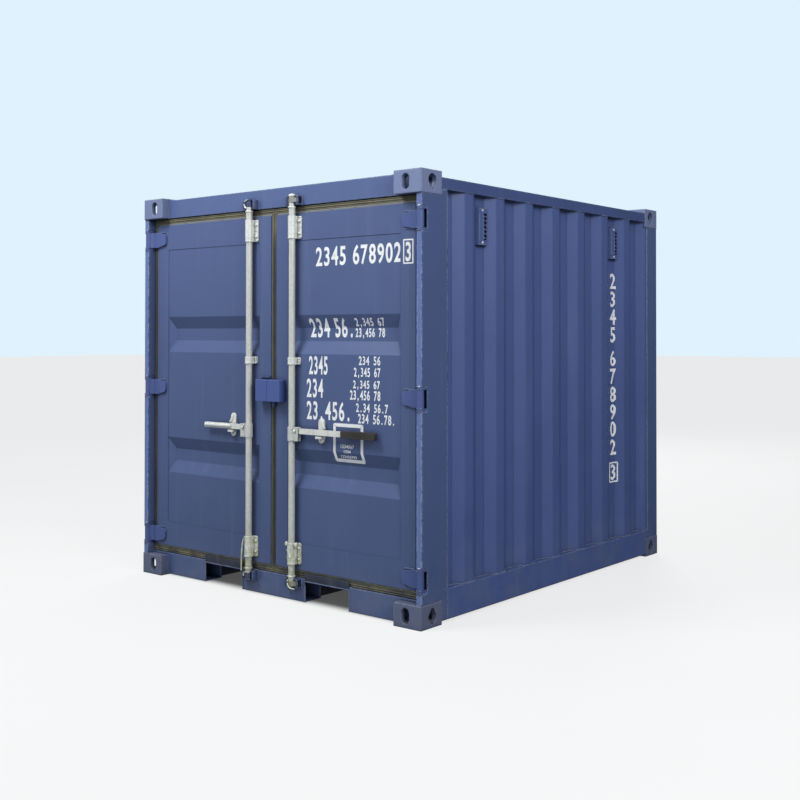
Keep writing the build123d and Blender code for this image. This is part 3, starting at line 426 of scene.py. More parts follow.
def plywood(name, shade):
    """Sealed plywood boards across the box, with grain along each board and dark joints."""
    material, tree, shader = new_material(name)
    place = object_place(tree)
    along = node(tree, "ShaderNodeMapping", {"Vector": place, "Scale": (1.2, 26.0, 26.0)}).outputs["Vector"]
    grain = noise(tree, along, 3.0, 8.0, Distortion=1.2)
    parts = node(tree, "ShaderNodeSeparateXYZ", {0: place}).outputs
    boards = node(tree, "ShaderNodeMath", {0: parts["Y"], 1: 0.407}, operation="PINGPONG").outputs[0]
    joint = ranged(tree, boards, 0.003, 0.0)
    boards = mixed(tree, ranged(tree, grain, 0.3, 0.7), darker(shade, 0.72), darker(shade, 1.15))
    surface = mixed(tree, joint, boards, darker(shade, 0.15))
    bump = raised(tree, grain, 0.5, 0.001)
    fill(tree, shader, Base_Color=surface, Roughness=ranged(tree, grain, 0.0, 1.0, 0.42, 0.62), Normal=bump)
    return material


def mark_paint(name, shade, under):
    """White paint rolled through a mask, thin in places so that the paint under it shows."""
    material, tree, shader = new_material(name)
    thin = patches(tree, 55.0, 0.60, 0.78)
    cloud = patches(tree, 14.0, 0.3, 0.7)
    surface = mixed(tree, cloud, darker(shade, 0.90), shade)
    surface = mixed(tree, product(tree, thin, 0.45), surface, under)
    bump = raised(tree, cloud, 0.2, 0.0005)
    fill(tree, shader, Base_Color=surface, Roughness=ranged(tree, cloud, 0.0, 1.0, 0.45, 0.6), Normal=bump)
    return material


def studio_floor(name, shade):
    """Matt studio floor with a barely seen mottle and a painted shadow under the container."""
    material, tree, shader = new_material(name)
    mottle = patches(tree, 1.2, 0.3, 0.7)
    surface = mixed(tree, mottle, darker(shade, FLOOR_MOTTLE[0]), darker(shade, FLOOR_MOTTLE[1]))
    place = object_place(tree)
    parts = node(tree, "ShaderNodeSeparateXYZ", {0: place}).outputs
    # Painted shadow: the floor's glow is cut to a tenth under the container, with a soft edge
    under = None
    for axis, reach in (("X", CAD_BOX[1][0]), ("Y", CAD_BOX[1][1])):
        away = node(tree, "ShaderNodeMath", {0: parts[axis]}, operation="ABSOLUTE").outputs[0]
        within = ranged(tree, away, reach - PAINTED_SHADOW_EDGE[0], reach - PAINTED_SHADOW_EDGE[1])
        under = product(tree, under, within) if under else within
    glow_with_painted_shadow = mixed(tree, under, shade, darker(shade, PAINTED_SHADOW_SHARE))
    fill(tree, shader, Base_Color=surface, Roughness=0.75, Emission_Color=glow_with_painted_shadow, Emission_Strength=FLOOR_GLOW)
    return material


FLOOR_GLOW = 0.92
FLOOR_MOTTLE = (0.150, 0.158)
# Share of the floor's glow under the container and the reach of its soft edge: a painted shadow
PAINTED_SHADOW_SHARE = 0.10
PAINTED_SHADOW_EDGE = (0.02, 0.14)


def ready_materials():
    """Materials by slot name, made once."""
    found = {slot: bpy.data.materials.get("finish_" + slot) for slot in MAKERS}
    for slot, made in found.items():
        if made is None:
            found[slot] = MAKERS[slot]("finish_" + slot)
    return found


# In each paint the pair of shares for the foot and the roof is painted light, not a real change in the paint
MAKERS = {
    "blue_paint": lambda name: paint(name, colour("body_blue"), 0.40, sizes().edge_radius),
    "frame_paint": lambda name: paint(
        name, colour("frame_blue"), 0.28, sizes().bend_radius, wear=0.7, level=0.5, height_light=(0.80, 1.20)),
    # Posts: painted light on the faces that look out from the doors, over a mild painted light towards the
    # roof
    "post_paint": lambda name: paint(
        name, colour("frame_blue"), 0.30, 0.014, wear=1.4, height_light=(0.90, 1.00), front=0.60),
    # Rails: painted light that is lighter low down and darker at the roof
    "rail_paint": lambda name: paint(
        name, darker(colour("body_blue"), 0.92), 0.34, sizes().bend_radius, wear=0.7, height_light=(1.10, 0.90)),
    "wall_paint": lambda name: paint(name, colour("body_blue"), 0.42, 0.012, waves=1.2, wear=0.0, dust=0.5),
    "door_paint": lambda name: paint(
        name, colour("door_blue"), 0.42, sizes().edge_radius, waves=1.4, wear=0.35, dust=0.35),
    "hinge_paint": lambda name: paint(name, colour("body_blue"), 0.36, 0.003, wear=1.0, dust=0.2),
    "keeper_paint": lambda name: paint(
        name, darker(colour("door_blue"), 0.80), 0.42, 0.003, wear=1.6, dust=0.2),
    "tip_paint": lambda name: paint(name, darker(colour("body_blue"), 0.50), 0.40, 0.003, wear=1.0, cast=0.3),
    # Castings: strong painted light, much lighter at the roof than at the foot
    "casting_paint": lambda name: paint(
        name, colour("casting_blue"), 0.40, 0.009, waves=0.4, wear=0.9, cast=0.5, height_light=(0.75, 1.75)),
    "lock_box_paint": lambda name: paint(
        name, colour("box_blue"), 0.30, 0.003, waves=0.6, wear=0.3, dust=0.1),
    "underframe_paint": lambda name: paint(name, colour("under_black"), 0.62, wear=0.2, dust=0.3),
    "weld_paint": lambda name: paint(name, colour("weld_blue"), 0.45, 0.002, waves=0.3, wear=0.8, cast=0.8),
    "seam_paint": lambda name: paint(name, darker(colour("door_blue"), 0.92), 0.5, 0.001, wear=0.0),
    "galvanised_steel": lambda name: zinc(name, colour("zinc")),
    "bar_steel": lambda name: zinc(name, darker(colour("zinc"), 0.80)),
    "cam_steel": lambda name: zinc(name, darker(colour("zinc"), 0.45), 0.35, 0.4),
    "retainer_steel": lambda name: zinc(name, darker(colour("zinc"), 0.30), 0.55, 0.3),
    "gasket_rubber": lambda name: rubber(
        name, colour("seal_rubber"), (0.075, 0.070, 0.058, 1.0), top=(0.150, 0.138, 0.080, 1.0)),
    "grip_rubber": lambda name: rubber(name, colour("grip_rubber"), (0.050, 0.040, 0.034, 1.0)),
    "floor_plywood": lambda name: plywood(name, colour("plywood")),
    "mark_paint": lambda name: mark_paint(name, colour("mark_white"), colour("door_blue")),
    "studio_floor": lambda name: studio_floor(name, colour("floor_grey")),
}

# Nodes whose finish differs from their slot's: folded frame, thin walls and worn fittings
NODE_FINISHES = {
    "door_posts": "post_paint", "rear_posts": "frame_paint", "door_header": "frame_paint",
    "door_sill": "frame_paint", "rear_header": "frame_paint", "rear_sill": "frame_paint",
    "top_side_rails": "rail_paint", "bottom_side_rails": "rail_paint",
    "lock_bar_left": "bar_steel", "lock_bar_right": "bar_steel",
    "bar_cams_left": "tip_paint", "bar_cams_right": "cam_steel",
    "side_wall_left": "wall_paint", "side_wall_right": "wall_paint", "rear_wall": "wall_paint",
    "roof": "wall_paint", "hinge_lugs": "hinge_paint", "hinge_blades_left": "hinge_paint",
    "hinge_blades_right": "hinge_paint", "bar_keepers": "keeper_paint",
}


# Meshes

def kept_mesh(bm):
    """Turn a bmesh into a mesh and free it."""
    bmesh.ops.recalc_face_normals(bm, faces=bm.faces)
    mesh = bpy.data.meshes.new("shape")
    bm.to_mesh(mesh)
    bm.free()
    return mesh


def finished(bm, name, slot, body, smooth_angle=40.0):
    """Turn a bmesh into a piece with its finish that rides on a body."""
    bmesh.ops.recalc_face_normals(bm, faces=bm.faces)
    mesh = bpy.data.meshes.new(name)
    for face in bm.faces:
        face.smooth = True
    bm.to_mesh(mesh)
    bm.free()
    mesh.set_sharp_from_angle(angle=math.radians(smooth_angle))
    mesh.materials.append(ready_materials()[slot])
    piece = bpy.data.objects.new(name, mesh)
    bpy.context.scene.collection.objects.link(piece)
    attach(piece, body)
    return piece


def finished_welds(bm, name, body="container"):
    """Turn weld beads into a piece that rides on a body."""
    return finished(bm, name, "weld_paint", body, 60.0)


def on_doors(along):
    """A matrix that lays a flat outline on an upright plane across the box, seen from the doors."""
    return Matrix.Translation((0.0, along, 0.0)) @ FACING_DOORS


def standing(place, out):
    """A matrix that stands a shape's Z along a direction, with its foot at a place."""
    return Matrix.Translation(place) @ Vector(out).to_track_quat("Z", "Y").to_matrix().to_4x4()


def stamp(bm, shape, matrix):
    """Copy a shape into a bmesh at a place."""
    before = len(bm.verts)
    bm.from_mesh(shape)
    bm.verts.ensure_lookup_table()
    bmesh.ops.transform(bm, matrix=matrix, verts=bm.verts[before:])


def turned(profile, steps=16, ring=False):
    """A closed shape of revolution about Z from pairs of radius and height."""
    bm = bmesh.new()
    verts = [bm.verts.new((radius, 0.0, height)) for radius, height in profile]
    pairs = list(zip(verts, verts[1:]))
    if ring:
        pairs.append((verts[-1], verts[0]))
    edges = [bm.edges.new(pair) for pair in pairs]
    bmesh.ops.spin(
        bm, geom=verts + edges, cent=(0, 0, 0), axis=(0, 0, 1), angle=2 * math.pi, steps=steps, use_merge=True
    )
    bmesh.ops.remove_doubles(bm, verts=bm.verts, dist=1e-6)
    return kept_mesh(bm)


def bolt_shape(radius, height, steps=14):
    """A washer with a domed head."""
    foot = 0.25 * height
    return turned((
        (0.0, 0.0), (radius, 0.0), (radius, 0.7 * foot), (0.94 * radius, foot), (0.72 * radius, foot),
        (0.68 * radius, 0.65 * height), (0.50 * radius, 0.90 * height), (0.25 * radius, height),
        (0.0, height),
    ), steps)


def collar_shape(inner, outer, height):
    """A ring with eased rims."""
    ease = (outer - inner) * 0.3
    return turned((
        (inner, 0.0), (outer - ease, 0.0), (outer, ease), (outer, height - ease), (outer - ease, height),
        (inner, height),
    ), 24, ring=True)


def fix(bm, shape, place):
    """Fix a fastener at a place on a face that looks out from the doors."""
    stamp(bm, shape, standing(place, (0, -1, 0)))


def drop(*shapes):
    """Remove shapes that were only stamped."""
    for shape in shapes:
        bpy.data.meshes.remove(shape)


def add_plate(bm, outline, matrix, depth, ease=0.0, steps=2):
    """Raise a flat outline to a plate whose front edges are eased."""
    part = bmesh.new()
    face = part.faces.new([part.verts.new((across, up, 0.0)) for across, up in outline])
    drawn = bmesh.ops.extrude_face_region(part, geom=[face])["geom"]
    top = {item for item in drawn if isinstance(item, bmesh.types.BMVert)}
    bmesh.ops.translate(part, vec=(0, 0, depth), verts=list(top))
    if ease:
        rim = [edge for edge in part.edges if edge.verts[0] in top and edge.verts[1] in top]
        bmesh.ops.bevel(
            part, geom=rim, offset=ease, offset_type="OFFSET", segments=steps, profile=0.5, affect="EDGES",
            material=-1
        )
    shape = kept_mesh(part)
    stamp(bm, shape, matrix)
    drop(shape)


def box_outline(left, right, low, high):
    """Corners of an upright rectangle."""
    return ((left, low), (right, low), (right, high), (left, high))


def oval(across, up, half_width, half_height, steps=6):
    """Outline of an upright oval with round ends about a middle."""
    straight = half_height - half_width
    points = []
    for end in (1, -1):
        for number in range(steps + 1):
            angle = math.pi * number / steps
            rise = straight + half_width * math.sin(angle)
            points.append((across + end * half_width * math.cos(angle), up + end * rise))
    return points


def spaced(path, step):
    """Points along a path of straight runs, no further apart than a step."""
    points = [Vector(path[0])]
    for start, end in zip(path, path[1:]):
        start, end = Vector(start), Vector(end)
        count = max(1, math.ceil((end - start).length / step))
        points += [start.lerp(end, number / count) for number in range(1, count + 1)]
    return points


def held_inside(place, reach):
    """A place moved so that what reaches a distance round it stays inside the CAD model's box."""
    low, high = CAD_BOX
    return Vector(min(max(place[axis], low[axis] + reach), high[axis] - reach) for axis in range(3))


def add_bead(bm, path, radius, chance=None, step=0.03, sides=6):
    """Draw a ring of points along a path: a weld bead, uneven where chance is given."""
    reach = radius * (1.0 + BEAD_SPREAD + 0.01 if chance else 1.0)
    points = [held_inside(point, reach) for point in spaced(path, step)]
    ways = [(after - before).normalized() for before, after in zip(points, points[1:])]
    ways.append(ways[-1])
    widest, narrowest = 1.0 + BEAD_SPREAD, 1.0 - BEAD_SPREAD
    shares = [chance.uniform(narrowest, widest) if chance else 1.0 for _ in points]
    last = standing(points[0], ways[0]) @ Matrix.Scale(radius * shares[0], 4)
    ring = bmesh.ops.create_circle(bm, cap_ends=True, radius=1.0, segments=sides, matrix=last)["verts"]
    rim = list({edge for vertex in ring for edge in vertex.link_edges})
    for place, way, share in zip(points[1:], ways[1:], shares[1:]):
        drawn = bmesh.ops.extrude_edge_only(bm, edges=rim)["geom"]
        ring = [item for item in drawn if isinstance(item, bmesh.types.BMVert)]
        rim = [item for item in drawn if isinstance(item, bmesh.types.BMEdge)]
        rim = [edge for edge in rim if edge.verts[0] in ring and edge.verts[1] in ring]
        here = standing(place, way) @ Matrix.Scale(radius * share, 4)
        bmesh.ops.transform(bm, matrix=here @ last.inverted(), verts=ring)
        last = here
    bmesh.ops.holes_fill(bm, edges=rim, sides=sides)


def add_rod(bm, path, radius, step=0.1, sides=8):
    """Draw a smooth round rod along a path."""
    add_bead(bm, path, radius, None, step, sides)


# Share by which a weld bead swells and thins
BEAD_SPREAD = 0.18

# Cell of a zero in the built-in font at size one
GLYPH_WIDTH = 0.50
GLYPH_HEIGHT = 0.74
GLYPH_MIDDLE = 0.34
GLYPH_WEIGHT = 0.020


def add_glyph(bm, character, place, turn, width, height, thickness):
    """Add one character to a bmesh, fitted to a cell and laid on a plane as a thin sheet of paint."""
    curve = bpy.data.curves.new("glyph", "FONT")
    curve.body = character
    curve.resolution_u = 4
    curve.offset = GLYPH_WEIGHT
    curve.extrude = 0.5
    holder = bpy.data.objects.new("glyph", curve)
    bpy.context.scene.collection.objects.link(holder)
    graph = bpy.context.evaluated_depsgraph_get()
    mesh = bpy.data.meshes.new_from_object(holder.evaluated_get(graph))
    across = [vertex.co.x for vertex in mesh.vertices]
    middle = (min(across) + max(across)) / 2
    scale = (width / GLYPH_WIDTH, height / GLYPH_HEIGHT, thickness, 1.0)
    fit = Matrix.Diagonal(scale) @ Matrix.Translation((-middle, -GLYPH_MIDDLE, 0.5))
    mesh.transform(Matrix.Translation(place) @ turn @ fit)
    bm.from_mesh(mesh)
    bpy.data.objects.remove(holder)
    bpy.data.curves.remove(curve)
    drop(mesh)


def add_outline(bm, place, turn, width, height, line, thickness, corner):
    """Add a painted rectangle outline with round corners."""
    part = bmesh.new()
    made = bmesh.ops.create_grid(part, x_segments=1, y_segments=1, size=0.5)["verts"]
    bmesh.ops.scale(part, vec=(width, height, 1.0), verts=made)
    bmesh.ops.bevel(
        part, geom=list(part.verts), offset=corner, offset_type="OFFSET", segments=4, profile=0.5,
        affect="VERTICES", material=-1
    )
    inner = list(part.faces)
    ring = bmesh.ops.inset_region(
        part, faces=inner, thickness=line, use_boundary=True, use_even_offset=True
    )["faces"]
    bmesh.ops.delete(part, geom=inner, context="FACES_ONLY")
    drawn = bmesh.ops.extrude_face_region(part, geom=ring)["geom"]
    top = [item for item in drawn if isinstance(item, bmesh.types.BMVert)]
    bmesh.ops.translate(part, vec=(0, 0, thickness), verts=top)
    shape = kept_mesh(part)
    stamp(bm, shape, Matrix.Translation(place) @ turn)
    drop(shape)


def lay_on(bm, nodes, axis, side, bends, thickness):
    """Lay a flat sheet of marks on the surface of CAD nodes, creased where that surface bends."""
    for across, value in bends:
        plane = Vector((0.0, 0.0, 0.0))
        plane[across] = value
        normal = Vector((0.0, 0.0, 0.0))
        normal[across] = 1.0
        everything = list(bm.verts) + list(bm.edges) + list(bm.faces)
        bmesh.ops.bisect_plane(bm, geom=everything, dist=1e-6, plane_co=plane, plane_no=normal)
    under = bmesh.new()
    for name in nodes:
        under.from_mesh(frame["nodes"][name].data)
    tree = BVHTree.FromBMesh(under)
    under.free()
    way = Vector((0.0, 0.0, 0.0))
    way[axis] = -side
    for vertex in bm.verts:
        start = vertex.co.copy()
        start[axis] = side * 3.0
        hit = tree.ray_cast(start, way)[0]
        if hit is None:
            raise ValueError("a mark lies beside the surface")
        front = side * vertex.co[axis] > thickness / 2
        vertex.co[axis] = hit[axis] + side * (thickness if front else -MARK_SINK)


MARK_SINK = 0.0002


# Operators

class CONTAINER_OT_stage(bpy.types.Operator):
    """Build the studio floor, the lights, the sky and the camera"""

    bl_idname = "container.stage"
    bl_label = "Studio"

    def execute(self, context):
        bm = bmesh.new()
        bmesh.ops.create_grid(bm, x_segments=4, y_segments=4, size=60.0)
        mesh = bpy.data.meshes.new("studio_floor")
        bm.to_mesh(mesh)
        bm.free()
        mesh.materials.append(ready_materials()["studio_floor"])
        floor = bpy.data.objects.new("studio_floor", mesh)
        context.scene.collection.objects.link(floor)
        floor.visible_diffuse = False
        floor.visible_glossy = False
        for name, place, target, side, power in STUDIO_LIGHTS:
            lamp = bpy.data.lights.new(name, "AREA")
            lamp.shape = "SQUARE"
            lamp.size = side
            lamp.energy = power
            holder = bpy.data.objects.new(name, lamp)
            holder.location = place
            aim = Vector(target) - Vector(place)
            holder.rotation_euler = aim.to_track_quat("-Z", "Y").to_euler()
            context.scene.collection.objects.link(holder)
        context.scene.world = studio_sky()
        lens = bpy.data.cameras.new("camera")
        lens.lens = CAMERA_LENS
        lens.sensor_width = CAMERA_SENSOR
        lens.shift_x, lens.shift_y = CAMERA_SHIFT
        camera = bpy.data.objects.new("camera", lens)
        camera.location = CAMERA_PLACE
        camera.rotation_euler = [math.radians(angle) for angle in CAMERA_TURN]
        context.scene.collection.objects.link(camera)
        context.scene.camera = camera
        context.scene.view_settings.view_transform = "Standard"
        return {"FINISHED"}


def studio_sky():
    """Soft light that is stronger from above, behind a plain pale backdrop."""
    world = bpy.data.worlds.new("studio_sky")
    world.use_nodes = True
    tree = world.node_tree
    lit = tree.nodes["Background"]
    way = node(tree, "ShaderNodeTexCoord").outputs["Generated"]
    lean = node(tree, "ShaderNodeVectorMath", {0: way, 1: SKY_LEAN}, operation="DOT_PRODUCT").outputs["Value"]
    strength = node(tree, "ShaderNodeMath", {0: lean, 1: SKY_LEVEL}, operation="ADD").outputs[0]
    strength = node(tree, "ShaderNodeMath", {0: strength, 1: SKY_LEAST}, operation="MAXIMUM").outputs[0]
    fill(tree, lit, Color=SKY_COLOUR, Strength=strength)
    seen = node(tree, "ShaderNodeBackground", {"Color": BACKDROP, "Strength": 1.0})
    direct = node(tree, "ShaderNodeLightPath").outputs["Is Camera Ray"]
    both = node(tree, "ShaderNodeMixShader", {0: direct, 1: lit.outputs[0], 2: seen.outputs[0]})
    tree.links.new(both.outputs[0], tree.nodes["World Output"].inputs["Surface"])
    return world


# Soft studio lights: name, place, aim, side in metres, power in watts
STUDIO_LIGHTS = (
    ("key_light", (-1.0, -3.6, 5.2), (0.0, -1.2, 1.7), 1.8, 205.0),
    ("side_light", (6.5, -3.0, 4.4), (1.1, -0.6, 1.4), 3.0, 290.0),
    ("back_light", (-3.0, 7.0, 5.0), (0.0, 1.2, 1.2), 4.0, 200.0),
)
SKY_COLOUR = (0.86, 0.93, 1.0, 1.0)
SKY_LEVEL = 0.32
SKY_LEAN = (0.0, -0.30, 0.30)
SKY_LEAST = 0.05
BACKDROP = (0.745, 0.888, 0.982, 1.0)


class CONTAINER_OT_finish(bpy.types.Operator):
    """Give every rigid piece of the container its paint, zinc, rubber or wood"""

    bl_idname = "container.finish"
    bl_label = "Paint and metal"

    def execute(self, context):
        materials = ready_materials()
        slots = {part["node"]: part["material_slot"] for part in frame["record"]["subparts"]}
        for name, piece in frame["nodes"].items():
            piece.data.materials.clear()
            piece.data.materials.append(materials[NODE_FINISHES.get(name, slots[name])])
        return {"FINISHED"}


class CONTAINER_OT_door_marks(bpy.types.Operator):
    """Paint plain digits and a boxed label on the right door"""

    bl_idname = "container.door_marks"
    bl_label = "Door digits"

    def execute(self, context):
        thick = sizes().mark_thickness
        bm = bmesh.new()
        for text, left, right, low, high in DOOR_ROWS:
            pitch = (right - left) / len(text)
            for number, character in enumerate(text):
                if character != " ":
                    place = (left + pitch * (number + 0.5), 0.0, (low + high) / 2)
                    add_glyph(bm, character, place, FACING_DOORS, pitch * DIGIT_SHARE, high - low, thick)
        for left, right, low, high, line, corner in DOOR_FRAMES:
            place = ((left + right) / 2, 0.0, (low + high) / 2)
            add_outline(bm, place, FACING_DOORS, right - left, high - low, line, thick, corner)
        panel_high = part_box("door_panel_right")[1]
        bends = [(2, height) for height in PRESSING_BENDS] + [(0, panel_high.x), (2, panel_high.z)]
        lay_on(bm, ("door_panel_right", "door_frame_right"), 1, -1, bends, thick)
        finished(bm, "door_digits", "mark_paint", "right_door")
        return {"FINISHED"}


# Rows on the right door: digits, then left, right, bottom and top in metres
DOOR_ROWS = (
    ("2345", 0.320, 0.552, 1.806, 1.908),
    ("678902", 0.590, 0.932, 1.806, 1.908),
    ("3", 0.950, 1.000, 1.808, 1.906),
    ("234", 0.254, 0.406, 1.427, 1.530),
    ("56.", 0.436, 0.585, 1.427, 1.530),
    ("2,345 67", 0.594, 0.803, 1.486, 1.529),
    ("23,456 78", 0.586, 0.795, 1.429, 1.476),
    ("2345", 0.271, 0.418, 1.229, 1.328),
    ("234 56", 0.636, 0.790, 1.285, 1.331),
    ("2,345 67", 0.602, 0.790, 1.224, 1.272),
    ("234", 0.254, 0.384, 1.106, 1.207),
    ("2,345 67", 0.596, 0.787, 1.164, 1.206),
    ("23,456 78", 0.574, 0.790, 1.104, 1.154),
    ("23.", 0.254, 0.392, 0.988, 1.087),
    ("456.", 0.393, 0.590, 0.990, 1.089),
    ("2.34 56.7", 0.617, 0.842, 1.042, 1.088),
    ("234 56.78.", 0.631, 0.890, 0.984, 1.034),
    ("1234567", 0.505, 0.606, 0.850, 0.868),
    ("1234", 0.528, 0.582, 0.824, 0.840),
    ("123456789", 0.500, 0.618, 0.797, 0.812),
)
DIGIT_SHARE = 0.86
# Painted frames on the right door: left, right, bottom, top, line width and corner radius
DOOR_FRAMES = (
    (0.942, 1.009, 1.796, 1.920, 0.007, 0.004),
    (0.456, 0.670, 0.774, 0.978, 0.018, 0.012),
)
PRESSING_BENDS = (0.757, 0.827, 1.408, 1.478, 1.548)


class CONTAINER_OT_side_marks(bpy.types.Operator):
    """Paint a column of plain digits in a recess of the right wall"""

    bl_idname = "container.side_marks"
    bl_label = "Side digits"

    def execute(self, context):
        thick = sizes().mark_thickness
        bm = bmesh.new()
        for character, height in zip("23456789023", SIDE_HEIGHTS):
            place = (0.0, SIDE_COLUMN_Y, height)
            add_glyph(bm, character, place, FACING_RIGHT, SIDE_DIGIT[0], SIDE_DIGIT[1], thick)
        place = (0.0, SIDE_COLUMN_Y, SIDE_HEIGHTS[-1])
        add_outline(bm, place, FACING_RIGHT, SIDE_FRAME[0], SIDE_FRAME[1], 0.008, thick, 0.003)
        bends = [(1, bend) for bend in SIDE_BENDS]
        lay_on(bm, ("side_wall_right",), 0, 1, bends, thick)
        finished(bm, "side_digits", "mark_paint", "container")
        return {"FINISHED"}


# Column on the right wall, in metres: its middle, the digits' heights, a digit's and the frame's size
SIDE_COLUMN_Y = 0.706
SIDE_HEIGHTS = (1.776, 1.663, 1.551, 1.440, 1.292, 1.180, 1.067, 0.957, 0.849, 0.736, 0.580)
SIDE_DIGIT = (0.062, 0.098)
SIDE_FRAME = (0.084, 0.126)
SIDE_BENDS = (0.6525, 0.7225)

# Places along the corrugated walls, from the source's pitch and flats
WALL_PITCH = 0.275
HALF_INNER = 0.035
HALF_OUTER = 0.103
SIDE_CENTRES = [(number - 3.5) * WALL_PITCH for number in range(8)]
REAR_CENTRES = [(number - 3.0) * WALL_PITCH for number in range(7)]


def wall_line(centres, start, end, outer, inner):
    """Points along a corrugated wall's face, as pairs of place along it and face."""
    points = [(start, outer)]
    for centre in centres:
        points += [(centre - HALF_OUTER, outer), (centre - HALF_INNER, inner)]
        points += [(centre + HALF_INNER, inner), (centre + HALF_OUTER, outer)]
    return points + [(end, outer)]


class CONTAINER_OT_wall_welds(bpy.types.Operator):
    """Weld the corrugated walls to their rails and posts"""

    bl_idname = "container.wall_welds"
    bl_label = "Wall welds"

    def execute(self, context):
        chance = random.Random(11)
        radius = sizes().weld_radius
        low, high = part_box("side_wall_right")
        bm = bmesh.new()
        for side in SIDES.values():
            line = wall_line(SIDE_CENTRES, low.y, high.y, high.x, low.x + SHEET)
            for height in (low.z, high.z):
                add_bead(bm, [(side * face, along, height) for along, face in line], radius, chance)
            for along in (low.y, high.y):
                path = ((side * high.x, along, low.z), (side * high.x, along, high.z))
                add_bead(bm, path, radius, chance, UPRIGHT_STEP)
        finished_welds(bm, "side_wall_welds")
        low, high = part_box("rear_wall")
        bm = bmesh.new()
        line = wall_line(REAR_CENTRES, low.x, high.x, high.y, low.y + SHEET)
        for height in (low.z, high.z):
            add_bead(bm, [(along, face, height) for along, face in line], radius, chance)
        for along in (low.x, high.x):
            add_bead(bm, [(along, high.y, low.z), (along, high.y, high.z)], radius, chance, UPRIGHT_STEP)
        finished_welds(bm, "rear_wall_welds")
        low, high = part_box("roof")
        bm = bmesh.new()
        for side in SIDES.values():
            edge = side * high.x
            add_bead(bm, [(edge, low.y, high.z), (edge, high.y, high.z)], radius, chance, UPRIGHT_STEP)
        for along in (low.y, high.y):
            add_bead(bm, [(low.x, along, high.z), (high.x, along, high.z)], radius, chance, UPRIGHT_STEP)
        finished_welds(bm, "roof_welds")
        return {"FINISHED"}


SHEET = 0.002
UPRIGHT_STEP = 0.05


class CONTAINER_OT_frame_welds(bpy.types.Operator):
    """Weld the castings, posts, header, sill, hinge lugs and keepers, with a dark plate over each pocket as
    painted shade
    """

    bl_idname = "container.frame_welds"
    bl_label = "Frame welds"

    def execute(self, context):
        chance = random.Random(12)
        radius = sizes().weld_radius
        header_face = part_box("door_header")[0].y
        sill_low, sill_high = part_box("door_sill")
        post_low, post_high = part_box("door_posts")
        rear_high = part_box("rear_posts")[1]
        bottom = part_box("castings_door_bottom")[1].z
        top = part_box("castings_door_top")[0].z
        bm = bmesh.new()

        def weld(*path):
            """Weld along a path."""
            add_bead(bm, path, radius, chance)

        def weld_front(along, *path):
            """Weld along a path on an upright plane across the box."""
            weld(*[(across, along, up) for across, up in path])

        for side in SIDES.values():
            inner, outer = side * CASTING_INNER, side * post_high.x
            weld_front(header_face, (inner, top), (inner, top + HEADER_JOINT))
            weld_front(header_face, (inner, sill_low.z), (inner, bottom))
            for height in (bottom, top):
                weld_front(post_low.y, (side * POST_INNER, height), (outer, height))
                weld((outer, post_low.y, height), (outer, CASTING_BACK, height))
            for low, high in (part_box("top_side_rails"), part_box("bottom_side_rails")):
                for along in (low.y, high.y):
                    weld((side * high.x, along, low.z), (side * high.x, along, high.z))
            for height in (bottom, top):
                outer = side * rear_high.x
                weld((outer, -CASTING_BACK, height), (outer, rear_high.y, height))
                weld_front(rear_high.y, (outer, height), (side * REAR_POST_INNER, height))
        finished_welds(bm, "casting_welds")
        bm = bmesh.new()
        for side in SIDES.values():
            for centre in HINGE_HEIGHTS:
                for lug in (centre - LUG_STEP, centre + LUG_STEP):
                    for edge in (lug - LUG_HALF, lug + LUG_HALF):
                        weld_front(post_low.y, (side * LUG_SPAN[0], edge), (side * LUG_SPAN[1], edge))
        for side in SIDES.values():
            for height in KEEPER_HEIGHTS:
                left, right = side * BAR_X - KEEPER_HALF, side * BAR_X + KEEPER_HALF
                foot, head = height - KEEPER_RISE, height + KEEPER_RISE
                for across in (left, right):
                    weld_front(header_face, (across, foot), (across, head))
                weld_front(header_face, (left, head), (right, head))
        finished_welds(bm, "fitting_welds")
        bm = bmesh.new()
        for side in SIDES.values():
            inner_foot, outer_foot = (side * POCKET[0], sill_low.z), (side * POCKET[1], sill_low.z)
            inner_head, outer_head = (side * POCKET[0], POCKET[2]), (side * POCKET[1], POCKET[2])
            weld_front(sill_low.y, inner_foot, inner_head, outer_head)
            weld_front(sill_low.y, outer_head, outer_foot)
            for path in ((inner_foot, inner_head), (inner_head, outer_head), (outer_head, outer_foot)):
                weld_front(REAR_SILL_FACE, *path)
        finished_welds(bm, "pocket_welds")
        # Painted shade: a near-black plate over each fork pocket stands for the shade there
        bm = bmesh.new()
        for side in SIDES.values():
            left, right = sorted((side * POCKET[0], side * POCKET[1]))
            place = on_doors(sill_low.y + SHADE_PLATE_INSET)
            low, high = POCKET[2] + SHADE_PLATE_INSET, sill_high.z - SHADE_PLATE_INSET
            outline = box_outline(left + SHADE_PLATE_INSET, right - SHADE_PLATE_INSET, low, high)
            add_plate(bm, outline, place, *SHADE_PLATE)
        finished(bm, "pocket_shade_plates", "underframe_paint", "container")
        return {"FINISHED"}


# Places of the frame's joints, from the source: metres from the middle, or along and up the box
CASTING_INNER = 0.922
CASTING_BACK = -1.057
POST_INNER = 1.064
HINGE_HEIGHTS = (0.238, 1.1265, 2.015)
LUG_STEP = 0.053
LUG_HALF = 0.007
KEEPER_HEIGHTS = (0.104, 2.169)
KEEPER_HALF = 0.050
KEEPER_RISE = 0.026
KEEPER_FRONT = -1.203
BAR_X = 0.172
BAR_Y = -1.196
BAR_RADIUS = 0.0175
# Fork pocket in the sill: inner and outer side, top
POCKET = (0.248, 0.575, 0.118)
REAR_SILL_FACE = 1.213
HEADER_JOINT = 0.106
REAR_POST_INNER = 0.990
LUG_SPAN = (1.066, 1.096)
SHADE_PLATE_INSET = 0.001
# Depth and ease of the dark plate over a fork pocket, which is painted shade
SHADE_PLATE = (0.004, 0.0015)


